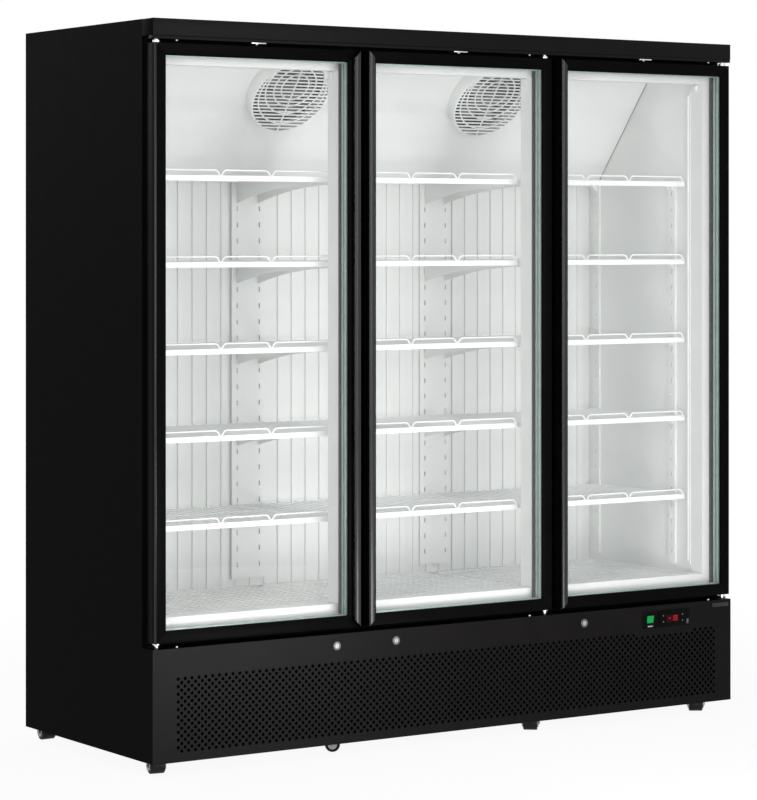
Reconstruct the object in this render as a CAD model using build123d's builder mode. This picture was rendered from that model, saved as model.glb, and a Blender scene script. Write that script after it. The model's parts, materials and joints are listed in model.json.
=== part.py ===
from build123d import *
import os
from math import atan2, cos, radians, sin

# Three-door upright display freezer on castors. Millimetres, +Z up, front towards -Y.
# The origin is the middle of the footprint, on the floor.

# Overall sizes
WIDTH = 1970.0
HEIGHT = 1990.0
BODY_DEPTH = 674.0
FRONT_DEPTH = 59.0
SKIRT_CLEARANCE = 36.0
SHEET = 1.2
SEAM = 0.3
REAR_FLANGE = 18.0
HOLE_ROOM = 0.2

# Insulated box
SIDE_WALL = 55.0
CEILING_Z = 1905.0
FLOOR_Z = 395.0
LINER_DEPTH = 601.0
FACE_FRAME_DEPTH = 53.0
POST_WIDTH = 61.0
LINTEL_Z = 1873.0
SILL_Z = 410.0
MULLION_WIDTH = 84.0
MULLION_ROUND = 4.0

# Header and plinth
HEADER_HEIGHT = 45.0
PLINTH_TOP = 336.0
PANEL_SHEET = 1.5
PLINTH_LIP = 15.0
HOLE_DIAMETER = 10.0
HOLE_PITCH_X = 20.9
HOLE_PITCH_Z = 20.0
HOLE_COLUMNS = 88
HOLE_ROWS = 10
HOLE_FIRST_ROW = 39.0
FILTER_SHEET = 3.0
FILTER_MARGIN = 15.0

# Base frame
RAIL_Z = 66.0
RAIL_HEIGHT = 30.0
RAIL_WIDTH = 40.0
DECK_SHEET = 4.0
CROSS_RAIL_X = 300.0

# Doors
DOOR_PITCH = 661.0
DOOR_WIDTH = 636.0
DOOR_THICKNESS = 45.0
DOOR_GAP_TOP = 19.0
DOOR_GAP_BOTTOM = 15.0
STILE_WIDTH = 33.0
GRIP_WIDTH = 16.0
GRIP_PROUD = 18.0
GRIP_ROUND = 7.0
MITRE_GAP = 0.3
GROOVE_DEPTH = 10.0
GLASS_RECESS = 6.0
PANES = 3
PANE = 4.0
PANE_GAP = 9.0
SPACER_WIDTH = 12.0
SPACER_GAP = 0.1
GASKET_INSET = 16.0
GASKET_WIDTH = 12.0
GASKET_GAP = 0.5

# Hinges
PIVOT_INSET = 13.5
PIVOT_DEPTH = 18.0
PIN_DIAMETER = 9.0
PIN_CLEARANCE = 0.05
PIN_REACH = 20.0
PIN_END_ROOM = 2.0
BRACKET_SHEET = 4.0
BRACKET_WIDTH = 24.0
BRACKET_FRONT = 9.0
BRACKET_GAP_TOP = 4.0
BRACKET_GAP_BOTTOM = 2.5
BRACKET_FLANGE = 24.0
FLANGE_SHEET = 3.0
COLLAR_DIAMETER = 20.0
COLLAR_HEIGHT = 3.5
COLLAR_GAP = 0.4

# Door switch plates in the gap over the doors
SWITCH_PLATE_LENGTH = 45.0
SWITCH_PLATE_SHEET = 4.0
SWITCH_PLATE_DEPTH = 24.0
SWITCH_BUMP_RADIUS = 5.0
SWITCH_BUMP_HEIGHT = 4.0

# Locks in the plinth
LOCK_Z = 304.0
LOCK_SETBACKS = (71.0, 98.0, 91.0)
LOCK_RING_DIAMETER = 24.0
LOCK_RING_PROUD = 3.0
LOCK_RING_ROUND = 1.2
LOCK_BODY_DIAMETER = 19.0
LOCK_BODY_LENGTH = 25.0
LOCK_PLUG_DIAMETER = 12.0
LOCK_PLUG_SET_BACK = 0.5
LOCK_CLEARANCE = 0.06
KEYWAY_WIDTH = 1.6
KEYWAY_HEIGHT = 8.0
KEYWAY_DEPTH = 9.0
CAM_REACH = 58.0
CAM_WIDTH = 14.0
CAM_SHEET = 2.5
CAM_ROOM = 2.0

# Controls in the plinth
PLATE_X = (650.0, 824.0)
PLATE_Z = (271.0, 321.0)
PLATE_SHEET = 2.0
SWITCH_X = 676.5
SWITCH_Z = 297.0
SWITCH_SIZE = (24.0, 25.0)
SWITCH_DEPTH = 12.0
SWITCH_CLEARANCE = 0.4
SWITCH_PROUD = 3.0
SWITCH_PIN_DIAMETER = 4.0
SWITCH_PIN_CLEARANCE = 0.05
SWITCH_PIN_DEPTH = 4.0
SWITCH_CHEEK = 4.0
SWITCH_TRIM = 2.0
THERMOSTAT_X = 758.5
THERMOSTAT_Z = 296.0
THERMOSTAT_FACE = (95.0, 40.0)
THERMOSTAT_BODY = (71.0, 29.0)
THERMOSTAT_PROUD = 4.0
THERMOSTAT_LENGTH = 45.0
THERMOSTAT_ROUND = 3.0
DISPLAY_SIZE = (46.0, 20.0)
DISPLAY_RECESS = 0.8

# Cold compartment
COVER_TOP_DEPTH = 255.0
COVER_FOOT_DEPTH = 507.0
COVER_FOOT_Z = 1590.0
COVER_SHEET = 1.5
FAN_CENTRE_X = 348.0
FAN_CENTRE_Z = 1835.0
FAN_OPENING = 160.0
GUARD_DIAMETER = 246.0
GUARD_PROUD = 38.0
GUARD_WALL = 4.0
GUARD_SHEET = 3.0
GUARD_WIRE = 3.0
GUARD_RINGS = (92.0, 66.0, 43.0)
GUARD_RING_RISE = 35.0
GUARD_SLATS = 9
GUARD_SLAT_PITCH = 24.0
FAN_DIAMETER = 170.0
FAN_HUB_DIAMETER = 56.0
FAN_HUB_LENGTH = 24.0
FAN_PROUD = 27.0
FAN_SET_BACK = 12.0
FAN_BLADES = 5
FAN_BLADE_CHORD = 44.0
FAN_BLADE_SHEET = 2.5
FAN_BLADE_PITCH = 28.0
FAN_BLADE_SINK = 3.0
FAN_SHAFT_DIAMETER = 8.0
FAN_SHAFT_CLEARANCE = 0.05
FAN_MOTOR_DIAMETER = 58.0
FAN_MOTOR_LENGTH = 38.0
FAN_MOTOR_GAP = 2.0
FAN_STAY_LENGTH = 236.0
FAN_STAY_WIDTH = 14.0
FAN_STAY_SHEET = 2.0
COIL_DEPTH = (465.0, 590.0)
COIL_FOOT_Z = 1700.0
COIL_HALF_WIDTH = 820.0
COIL_FIN_PITCH = 40.0
COIL_FIN_GAP = 32.0
COIL_SPINE = 30.0
DUCT_DEPTH = 556.0
DUCT_SHEET = 1.5
DUCT_FOOT_Z = 400.0
RIB_HEIGHT = 6.0
RIB_WIDTH = 20.0
RIB_PITCH = 48.0
RIB_COUNT = 38

# Shelves
SHELF_TOPS = (643.0, 879.0, 1114.0, 1349.0, 1583.0)
SHELF_WIDTH = 594.0
SHELF_BAY_X = 622.0
SHELF_FRONT = 78.0
SHELF_DEPTH = 450.0
SHELF_THICKNESS = 6.0
SHELF_WIRE = 4.0
SHELF_COLUMNS = 21
SHELF_ROWS = 3
LIP_HEIGHT = 15.0
LIP_SHEET = 2.5
RAIL_WIRE = 4.5
RAIL_RISE = 14.0
RAIL_NOTCH_X = 80.0
RAIL_NOTCH_HALF = 12.0
RAIL_END = 8.0
FLOOR_GRID_Z = 408.0
FLOOR_GRID_WIDTH = 588.0
RUNNER_WIDTH = 10.0

# Shelf supports
STRIP_WIDTH = 110.0
STRIP_SHEET = 5.0
STRIP_FOOT_Z = 425.0
STRIP_TOP_Z = 1585.0
SLOT_COLUMN_X = 37.5
SLOT_SIZE = (4.0, 14.0)
SLOT_PITCH = 47.0
SLOT_ROWS = 24
UPRIGHT_DEPTHS = (141.0, 513.0)
UPRIGHT_WIDTH = 30.0
UPRIGHT_SHEET = 8.0
BRACKET_LENGTH = 400.0
BRACKET_ROOT = 62.0
BRACKET_TIP = 14.0
BRACKET_PLATE = 3.0
BRACKET_LEDGE = 14.0
CLIP_REACH = 22.0
CLIP_HEIGHT = 22.0
CLIP_WIDTH = 18.0

# Lamps
LAMP_WIDTH = 26.0
LAMP_DEPTH = 15.0
LAMP_Z = (432.0, 1850.0)
SIDE_LAMP_WIDTH = 8.0

# Warm compartment
CONDENSER_X = (-620.0, -140.0)
CONDENSER_DEPTH = (40.0, 95.0)
CONDENSER_Z = (96.0, 296.0)
CONDENSER_FIN_PITCH = 24.0
CONDENSER_FIN_GAP = 18.0
CONDENSER_SPINE = 20.0
SHROUD_OPENING = 182.0
SHROUD_GAP = 6.0
SHROUD_Z = 196.0
COMPRESSOR_X = 250.0
COMPRESSOR_DEPTH = 330.0
COMPRESSOR_DIAMETER = 190.0
COMPRESSOR_HEIGHT = 190.0
COMPRESSOR_DOME = 45.0
COMPRESSOR_FOOT = (230.0, 150.0)
COMPRESSOR_FOOT_SHEET = 6.0
COMPRESSOR_BOX = (60.0, 40.0, 70.0)
COMPRESSOR_BOX_SINK = 8.0
COMPRESSOR_BOX_RISE = 40.0
INLET_X = 780.0
INLET_Z = 180.0
INLET_DIAMETER = 26.0
INLET_BORE = 11.0
INLET_LENGTH = 12.0
INLET_FLANGE = 3.0
VENT_ROWS = 7
VENT_COLUMNS = 16
VENT_SIZE = (80.0, 10.0)
VENT_PITCH = (110.0, 30.0)

# Castors
WHEEL_DIAMETER = 42.0
WHEEL_WIDTH = 40.0
WHEEL_ROUND = 3.0
AXLE_DIAMETER = 6.0
AXLE_CLEARANCE = 0.05
WHEEL_SIDE_GAP = 1.0
FORK_SHEET = 2.5
FORK_LEG_WIDTH = 26.0
FORK_BRIDGE_Z = 50.0
FORK_BRIDGE_SHEET = 3.0
CASTOR_TRAIL = 18.0
KINGPIN_DIAMETER = 8.0
KINGPIN_CLEARANCE = 0.05
KINGPIN_HEAD = 13.0
KINGPIN_HEAD_HEIGHT = 3.0
RACE_DIAMETER = 26.0
RACE_GAP = 0.4
CASTOR_PLATE = 50.0
CASTOR_PLATE_SHEET = 3.0
CASTOR_SETBACK = 66.0
CASTOR_XS = (-935.0, -352.0, 305.0, 917.0)
CASTOR_HEADINGS = (80.0, -34.0, 50.0, 56.0)
REAR_CASTOR_SETBACK = 50.0
REAR_CASTOR_HEADING = -90.0

# Derived places
OVERALL_DEPTH = GRIP_PROUD + FRONT_DEPTH + BODY_DEPTH
Y_FRONT = GRIP_PROUD - OVERALL_DEPTH / 2
Y_FACE = Y_FRONT + FRONT_DEPTH
Y_BACK = Y_FACE + BODY_DEPTH
HALF = WIDTH / 2
INNER_HALF = HALF - SIDE_WALL
HEADER_Z = HEIGHT - HEADER_HEIGHT
DOOR_Z0 = PLINTH_TOP + DOOR_GAP_BOTTOM
DOOR_Z1 = HEADER_Z - DOOR_GAP_TOP
DECK_Z = PLINTH_TOP + DECK_SHEET
LINER_BACK = Y_FACE + LINER_DEPTH
LINER_FRONT = Y_FACE + FACE_FRAME_DEPTH
MULLION_X = DOOR_PITCH / 2
DUCT_Y = Y_FACE + DUCT_DEPTH
STRIP_Y = DUCT_Y - RIB_HEIGHT - STRIP_SHEET
PIVOT_Y = Y_FRONT + PIVOT_DEPTH
GLASS_PACK = PANES * PANE + (PANES - 1) * PANE_GAP
CASTOR_TOP = RAIL_Z - CASTOR_PLATE_SHEET
FRONT_PLANE = Plane.XZ.offset(-Y_FRONT)
DOOR_NAMES = ("left", "centre", "right")
DOOR_CENTRES = (-DOOR_PITCH, 0.0, DOOR_PITCH)
DOOR_HINGES = (-1, 1, 1)


def span(middle, size):
    """Low and high edge of a size about its middle."""
    return (middle - size / 2, middle + size / 2)


def block(x, y, z, mode=Mode.ADD):
    """Box between low and high edges along X, Y and Z."""
    with Locations((sum(x) / 2, sum(y) / 2, sum(z) / 2)):
        Box(x[1] - x[0], y[1] - y[0], z[1] - z[0], mode=mode)


def rod_y(x, y, z, diameter, mode=Mode.ADD):
    """Round rod along Y."""
    with Locations((x, sum(y) / 2, z)):
        Cylinder(diameter / 2, y[1] - y[0], rotation=(90, 0, 0), mode=mode)


def rod_x(x, y, z, diameter, mode=Mode.ADD):
    """Round rod along X."""
    with Locations((sum(x) / 2, y, z)):
        Cylinder(diameter / 2, x[1] - x[0], rotation=(0, 90, 0), mode=mode)


def rod_z(x, y, z, diameter, mode=Mode.ADD):
    """Round rod along Z."""
    with Locations((x, y, sum(z) / 2)):
        Cylinder(diameter / 2, z[1] - z[0], mode=mode)


def holed_face(plane, size, holes):
    """Rectangle about a plane's origin, with each hole given as a wire in that plane."""
    return Face(Wire.make_rect(*size, plane), holes)


def facing_front(x, y, z):
    """Plane at a point, looking out of the front, its X to the right."""
    return Plane(origin=(x, y, z), x_dir=(1, 0, 0), z_dir=(0, -1, 0))


def facing_right(x, y, z):
    """Plane at a point, looking along +X, its X towards the back."""
    return Plane(origin=(x, y, z), x_dir=(0, 1, 0), z_dir=(1, 0, 0))


def save(piece, name):
    """Label a finished piece and write it."""
    piece.part.label = name
    export_step(piece.part, f"parts/{name}.step")


os.makedirs("parts", exist_ok=True)

# Side panels: a sheet with a flange turned in behind the back panel
for side, name in ((-1, "left_side_panel"), (1, "right_side_panel")):
    web = sorted((side * HALF, side * (HALF - SHEET)))
    flange = sorted((side * HALF, side * (HALF - REAR_FLANGE)))
    with BuildPart() as side_panel:
        block(web, (Y_FACE, Y_BACK), (SKIRT_CLEARANCE, HEIGHT))
        block(flange, (Y_BACK - SHEET, Y_BACK), (SKIRT_CLEARANCE, HEIGHT))
    save(side_panel, name)

# Top panel
skin_half = HALF - SHEET
back_y = (Y_BACK - 2 * SHEET, Y_BACK - SHEET)
with BuildPart() as top_panel:
    block((-skin_half, skin_half), (Y_FACE, back_y[0]), (HEIGHT - SHEET, HEIGHT))
save(top_panel, "top_panel")

# Back panel, and below it the vented sheet that closes the warm compartment
vent_z = (SKIRT_CLEARANCE + PLINTH_TOP) / 2
with BuildPart() as back_panel:
    block((-skin_half, skin_half), back_y, (PLINTH_TOP, HEIGHT))
    with BuildSketch(Plane.XZ.offset(-back_y[0])):
        with Locations((0, vent_z)):
            Rectangle(2 * skin_half, PLINTH_TOP - SKIRT_CLEARANCE - 2 * SEAM)
            with GridLocations(*VENT_PITCH, VENT_COLUMNS, VENT_ROWS):
                SlotOverall(*VENT_SIZE, mode=Mode.SUBTRACT)
        with Locations((INLET_X, INLET_Z)):
            Rectangle(VENT_PITCH[0], 2 * VENT_PITCH[1])
            Circle((INLET_DIAMETER + HOLE_ROOM) / 2, mode=Mode.SUBTRACT)
    extrude(amount=-SHEET)
save(back_panel, "back_panel")

# Foam between the outer skin and the liner
foam_x = (INNER_HALF + SHEET, HALF - SHEET)
foam_y = (LINER_FRONT, LINER_BACK + SHEET)
foam_z = (DECK_Z, HEIGHT - SHEET)
with BuildPart() as insulation_foam:
    for side in (-1, 1):
        block(sorted((side * foam_x[0], side * foam_x[1])), foam_y, foam_z)
    roof_half = foam_x[0] - SEAM
    block((-roof_half, roof_half), foam_y, (CEILING_Z + SHEET, foam_z[1]))
    block((-roof_half, roof_half), foam_y, (DECK_Z, FLOOR_Z - SHEET))
    block((-foam_x[1], foam_x[1]), (foam_y[1] + SEAM, back_y[0]), foam_z)
save(insulation_foam, "insulation_foam")

# White liner sheets
with BuildPart() as inner_liner:
    for side in (-1, 1):
        wall = sorted((side * INNER_HALF, side * (INNER_HALF + SHEET)))
        block(wall, (LINER_FRONT, LINER_BACK), (FLOOR_Z - SHEET, CEILING_Z + SHEET))
    sheet_half = INNER_HALF - SEAM
    block((-sheet_half, sheet_half), (LINER_FRONT, LINER_BACK), (CEILING_Z, CEILING_Z + SHEET))
    block((-sheet_half, sheet_half), (LINER_FRONT, LINER_BACK), (FLOOR_Z - SHEET, FLOOR_Z))
    rear = (LINER_BACK + SEAM, LINER_BACK + SHEET)
    block((-sheet_half, sheet_half), rear, (FLOOR_Z - SHEET, CEILING_Z + SHEET))
save(inner_liner, "inner_liner")

# Face frame around and between the door openings
post_inner = HALF - POST_WIDTH
frame_y = (Y_FACE, LINER_FRONT)
with BuildPart() as face_frame:
    for side in (-1, 1):
        block(sorted((side * post_inner, side * skin_half)), frame_y, foam_z)
    beam_half = post_inner - SEAM
    block((-beam_half, beam_half), frame_y, (LINTEL_Z, foam_z[1]))
    block((-beam_half, beam_half), frame_y, (DECK_Z, SILL_Z))
    for side in (-1, 1):
        block(span(side * MULLION_X, MULLION_WIDTH), frame_y, (SILL_Z + SEAM, LINTEL_Z - SEAM))
    mullion_edges = face_frame.edges().filter_by(Axis.Z).filter_by(
        lambda edge: abs(abs(edge.center().X) - MULLION_X) < MULLION_WIDTH
    )
    fillet(mullion_edges, radius=MULLION_ROUND)
save(face_frame, "face_frame")

# Header: a folded channel, open to the cabinet
with BuildPart() as header_panel:
    block((-HALF, HALF), (Y_FRONT, Y_FACE), (HEADER_Z, HEIGHT))
    room_x = (-HALF + PANEL_SHEET, HALF - PANEL_SHEET)
    room_z = (HEADER_Z + PANEL_SHEET, HEIGHT - PANEL_SHEET)
    block(room_x, (Y_FRONT + PANEL_SHEET, Y_FACE), room_z, Mode.SUBTRACT)
save(header_panel, "header_panel")

# Base frame: rails, cross rails, posts and the deck that carries the insulated box
rail_z = (RAIL_Z, RAIL_Z + RAIL_HEIGHT)
rail_y = (Y_FACE, back_y[0])
with BuildPart() as base_frame:
    for side in (-1, 1):
        block(sorted((side * skin_half, side * (skin_half - RAIL_WIDTH))), rail_y, rail_z)
    rail_half = skin_half - RAIL_WIDTH - SEAM
    front_rail = (Y_FACE, Y_FACE + RAIL_WIDTH)
    rear_rail = (back_y[0] - RAIL_WIDTH, back_y[0])
    for y in (front_rail, rear_rail):
        block((-rail_half, rail_half), y, rail_z)
    for x in (-CROSS_RAIL_X, COMPRESSOR_X - RAIL_WIDTH, COMPRESSOR_X + RAIL_WIDTH):
        block(span(x, RAIL_WIDTH), (front_rail[1] + SEAM, rear_rail[0] - SEAM), rail_z)
    for x in (-skin_half + RAIL_WIDTH / 2, 0, skin_half - RAIL_WIDTH / 2):
        for y in (front_rail, rear_rail):
            block(span(x, RAIL_WIDTH), y, (rail_z[1] + SEAM, PLINTH_TOP - SEAM))
    block((-skin_half, skin_half), rail_y, (PLINTH_TOP, DECK_Z))
save(base_frame, "base_frame")

# Places of the locks, and the room that their cams sweep
lock_xs = [
    centre - hinge * (DOOR_WIDTH / 2 - setback)
    for centre, hinge, setback in zip(DOOR_CENTRES, DOOR_HINGES, LOCK_SETBACKS)
]
CAM_Y = (Y_FRONT + LOCK_BODY_LENGTH + SEAM, Y_FRONT + LOCK_BODY_LENGTH + SEAM + CAM_SHEET)
cam_room_y = (CAM_Y[0] - CAM_ROOM, CAM_Y[1] + CAM_ROOM)


def cam_room_x(lock_x):
    """Width of a slot that a cam of CAM_REACH can turn up through."""
    return (lock_x - CAM_WIDTH / 2 - CAM_ROOM, lock_x + CAM_REACH)


# Plinth surround: ledge, two ends and a lower lip, behind the grille panel
plinth_y = (Y_FRONT + PANEL_SHEET, Y_FACE - SEAM)
plinth_half = HALF - PANEL_SHEET - SEAM
with BuildPart() as plinth_frame:
    block((-plinth_half, plinth_half), plinth_y, (PLINTH_TOP - PANEL_SHEET, PLINTH_TOP))
    for side in (-1, 1):
        end = sorted((side * HALF, side * (HALF - PANEL_SHEET)))
        block(end, plinth_y, (SKIRT_CLEARANCE, PLINTH_TOP))
    lip_y = (plinth_y[0], Y_FRONT + PLINTH_LIP)
    block((-plinth_half, plinth_half), lip_y, (SKIRT_CLEARANCE, SKIRT_CLEARANCE + PANEL_SHEET))
    for lock_x in lock_xs:
        room_z = (PLINTH_TOP - 2 * PANEL_SHEET, PLINTH_TOP + PANEL_SHEET)
        block(cam_room_x(lock_x), cam_room_y, room_z, Mode.SUBTRACT)
save(plinth_frame, "plinth_frame")

# Grille panel: one sheet with rows of round holes, lock holes and control openings, and the filter
# mat behind the rows
switch_body = tuple(size + 2 * SWITCH_CLEARANCE for size in SWITCH_SIZE)
cheeks = switch_body[0] + 2 * (SWITCH_CHEEK + HOLE_ROOM)
panel_holes = [
    Wire.make_circle(
        HOLE_DIAMETER / 2,
        facing_front(
            (column - (HOLE_COLUMNS - 1) / 2) * HOLE_PITCH_X,
            Y_FRONT,
            SKIRT_CLEARANCE + HOLE_FIRST_ROW + row * HOLE_PITCH_Z,
        ),
    )
    for row in range(HOLE_ROWS)
    for column in range(HOLE_COLUMNS)
]
lock_hole = (LOCK_BODY_DIAMETER + HOLE_ROOM) / 2
panel_holes += [Wire.make_circle(lock_hole, facing_front(x, Y_FRONT, LOCK_Z)) for x in lock_xs]
panel_holes.append(Wire.make_rect(cheeks, switch_body[1], facing_front(SWITCH_X, Y_FRONT, SWITCH_Z)))
panel_holes.append(Wire.make_rect(*THERMOSTAT_BODY, facing_front(THERMOSTAT_X, Y_FRONT, THERMOSTAT_Z)))
panel_plane = facing_front(0, Y_FRONT, (SKIRT_CLEARANCE + PLINTH_TOP) / 2)
with BuildPart() as grille_panel:
    panel_face = holed_face(panel_plane, (WIDTH, PLINTH_TOP - SKIRT_CLEARANCE), panel_holes)
    extrude(panel_face, amount=PANEL_SHEET, dir=(0, 1, 0))
    filter_edge = HOLE_DIAMETER / 2 + FILTER_MARGIN
    filter_half = (HOLE_COLUMNS - 1) / 2 * HOLE_PITCH_X + filter_edge
    first_row = SKIRT_CLEARANCE + HOLE_FIRST_ROW
    filter_z = (first_row - filter_edge, first_row + (HOLE_ROWS - 1) * HOLE_PITCH_Z + filter_edge)
    filter_y = Y_FRONT + PANEL_SHEET + SEAM
    block((-filter_half, filter_half), (filter_y, filter_y + FILTER_SHEET), filter_z)
save(grille_panel, "grille_panel")

# Control plate with openings for the rocker and the thermostat, and bearings for the rocker
plate_y = (Y_FRONT - PLATE_SHEET, Y_FRONT)
rocker_y = Y_FRONT + SWITCH_PIN_DEPTH
body_z = span(THERMOSTAT_Z, THERMOSTAT_BODY[1])
with BuildPart() as control_plate:
    block(PLATE_X, plate_y, PLATE_Z)
    block(span(SWITCH_X, switch_body[0]), plate_y, span(SWITCH_Z, switch_body[1]), Mode.SUBTRACT)
    block(span(THERMOSTAT_X, THERMOSTAT_BODY[0]), plate_y, body_z, Mode.SUBTRACT)
    for side in (-1, 1):
        inner_face = SWITCH_X + side * switch_body[0] / 2
        cheek = sorted((inner_face, inner_face + side * SWITCH_CHEEK))
        block(cheek, (Y_FRONT, Y_FRONT + SWITCH_DEPTH), span(SWITCH_Z, SWITCH_SIZE[1]))
    bearing = SWITCH_PIN_DIAMETER + 2 * SWITCH_PIN_CLEARANCE
    rod_x(span(SWITCH_X, cheeks), rocker_y, SWITCH_Z, bearing, Mode.SUBTRACT)
save(control_plate, "control_plate")

# Thermostat: a face plate with a recessed display, on a body that passes through the panel
face_y = (plate_y[0] - THERMOSTAT_PROUD, plate_y[0])
with BuildPart() as thermostat:
    face_z = span(THERMOSTAT_Z, THERMOSTAT_FACE[1])
    block(span(THERMOSTAT_X, THERMOSTAT_FACE[0]), face_y, face_z)
    fillet(thermostat.edges().filter_by(Axis.Y), radius=THERMOSTAT_ROUND)
    display_y = (face_y[0], face_y[0] + DISPLAY_RECESS)
    display_z = span(THERMOSTAT_Z, DISPLAY_SIZE[1])
    block(span(THERMOSTAT_X, DISPLAY_SIZE[0]), display_y, display_z, Mode.SUBTRACT)
    block(span(THERMOSTAT_X, THERMOSTAT_BODY[0]), (face_y[1], Y_FRONT + THERMOSTAT_LENGTH), body_z)
save(thermostat, "thermostat")

# Rocker of the switch: a shallow V seen from the side, tipping about a pin along X
rocker_half = SWITCH_SIZE[1] / 2
with BuildPart() as power_switch:
    with BuildSketch(Plane.YZ.offset(SWITCH_X - SWITCH_SIZE[0] / 2)):
        with BuildLine():
            Polyline(
                (plate_y[0] - SWITCH_PROUD, SWITCH_Z + rocker_half - SWITCH_TRIM),
                (plate_y[0], SWITCH_Z),
                (plate_y[0], SWITCH_Z - rocker_half + SWITCH_TRIM),
                (rocker_y + SWITCH_TRIM, SWITCH_Z - rocker_half + 2 * SWITCH_TRIM),
                (rocker_y + SWITCH_TRIM, SWITCH_Z + rocker_half - 2 * SWITCH_TRIM),
                close=True,
            )
        make_face()
    extrude(amount=SWITCH_SIZE[0])
    pin_length = switch_body[0] + 2 * SWITCH_CHEEK - 2 * SWITCH_CLEARANCE
    rod_x(span(SWITCH_X, pin_length), rocker_y, SWITCH_Z, SWITCH_PIN_DIAMETER)
save(power_switch, "power_switch")

# Lock barrels and turning plugs with their cams
with BuildPart() as lock_barrels:
    for lock_x in lock_xs:
        rod_y(lock_x, (Y_FRONT - LOCK_RING_PROUD, Y_FRONT), LOCK_Z, LOCK_RING_DIAMETER)
        rod_y(lock_x, (Y_FRONT, Y_FRONT + LOCK_BODY_LENGTH), LOCK_Z, LOCK_BODY_DIAMETER)
    rims = lock_barrels.edges().filter_by(GeomType.CIRCLE).group_by(Axis.Y)[0]
    fillet(rims, radius=LOCK_RING_ROUND)
    for lock_x in lock_xs:
        through = (Y_FRONT - LOCK_RING_PROUD, Y_FRONT + LOCK_BODY_LENGTH)
        rod_y(lock_x, through, LOCK_Z, LOCK_PLUG_DIAMETER + 2 * LOCK_CLEARANCE, Mode.SUBTRACT)
save(lock_barrels, "lock_barrels")

plug_front = Y_FRONT - LOCK_RING_PROUD + LOCK_PLUG_SET_BACK
for name, lock_x in zip(DOOR_NAMES, lock_xs):
    with BuildPart() as lock_plug:
        rod_y(lock_x, (plug_front, CAM_Y[1]), LOCK_Z, LOCK_PLUG_DIAMETER)
        keyway_y = (plug_front, plug_front + KEYWAY_DEPTH)
        block(span(lock_x, KEYWAY_WIDTH), keyway_y, span(LOCK_Z, KEYWAY_HEIGHT), Mode.SUBTRACT)
        with BuildSketch(Plane.XZ.offset(-CAM_Y[0])):
            with Locations((lock_x + (CAM_REACH - CAM_WIDTH / 2) / 2, LOCK_Z)):
                SlotOverall(CAM_REACH + CAM_WIDTH / 2, CAM_WIDTH)
        extrude(amount=-CAM_SHEET)
    save(lock_plug, f"lock_plug_{name}")


# Doors
def pivot_x(centre, hinge):
    """X of a door's hinge pins."""
    return centre + hinge * (DOOR_WIDTH / 2 - PIVOT_INSET)


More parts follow.
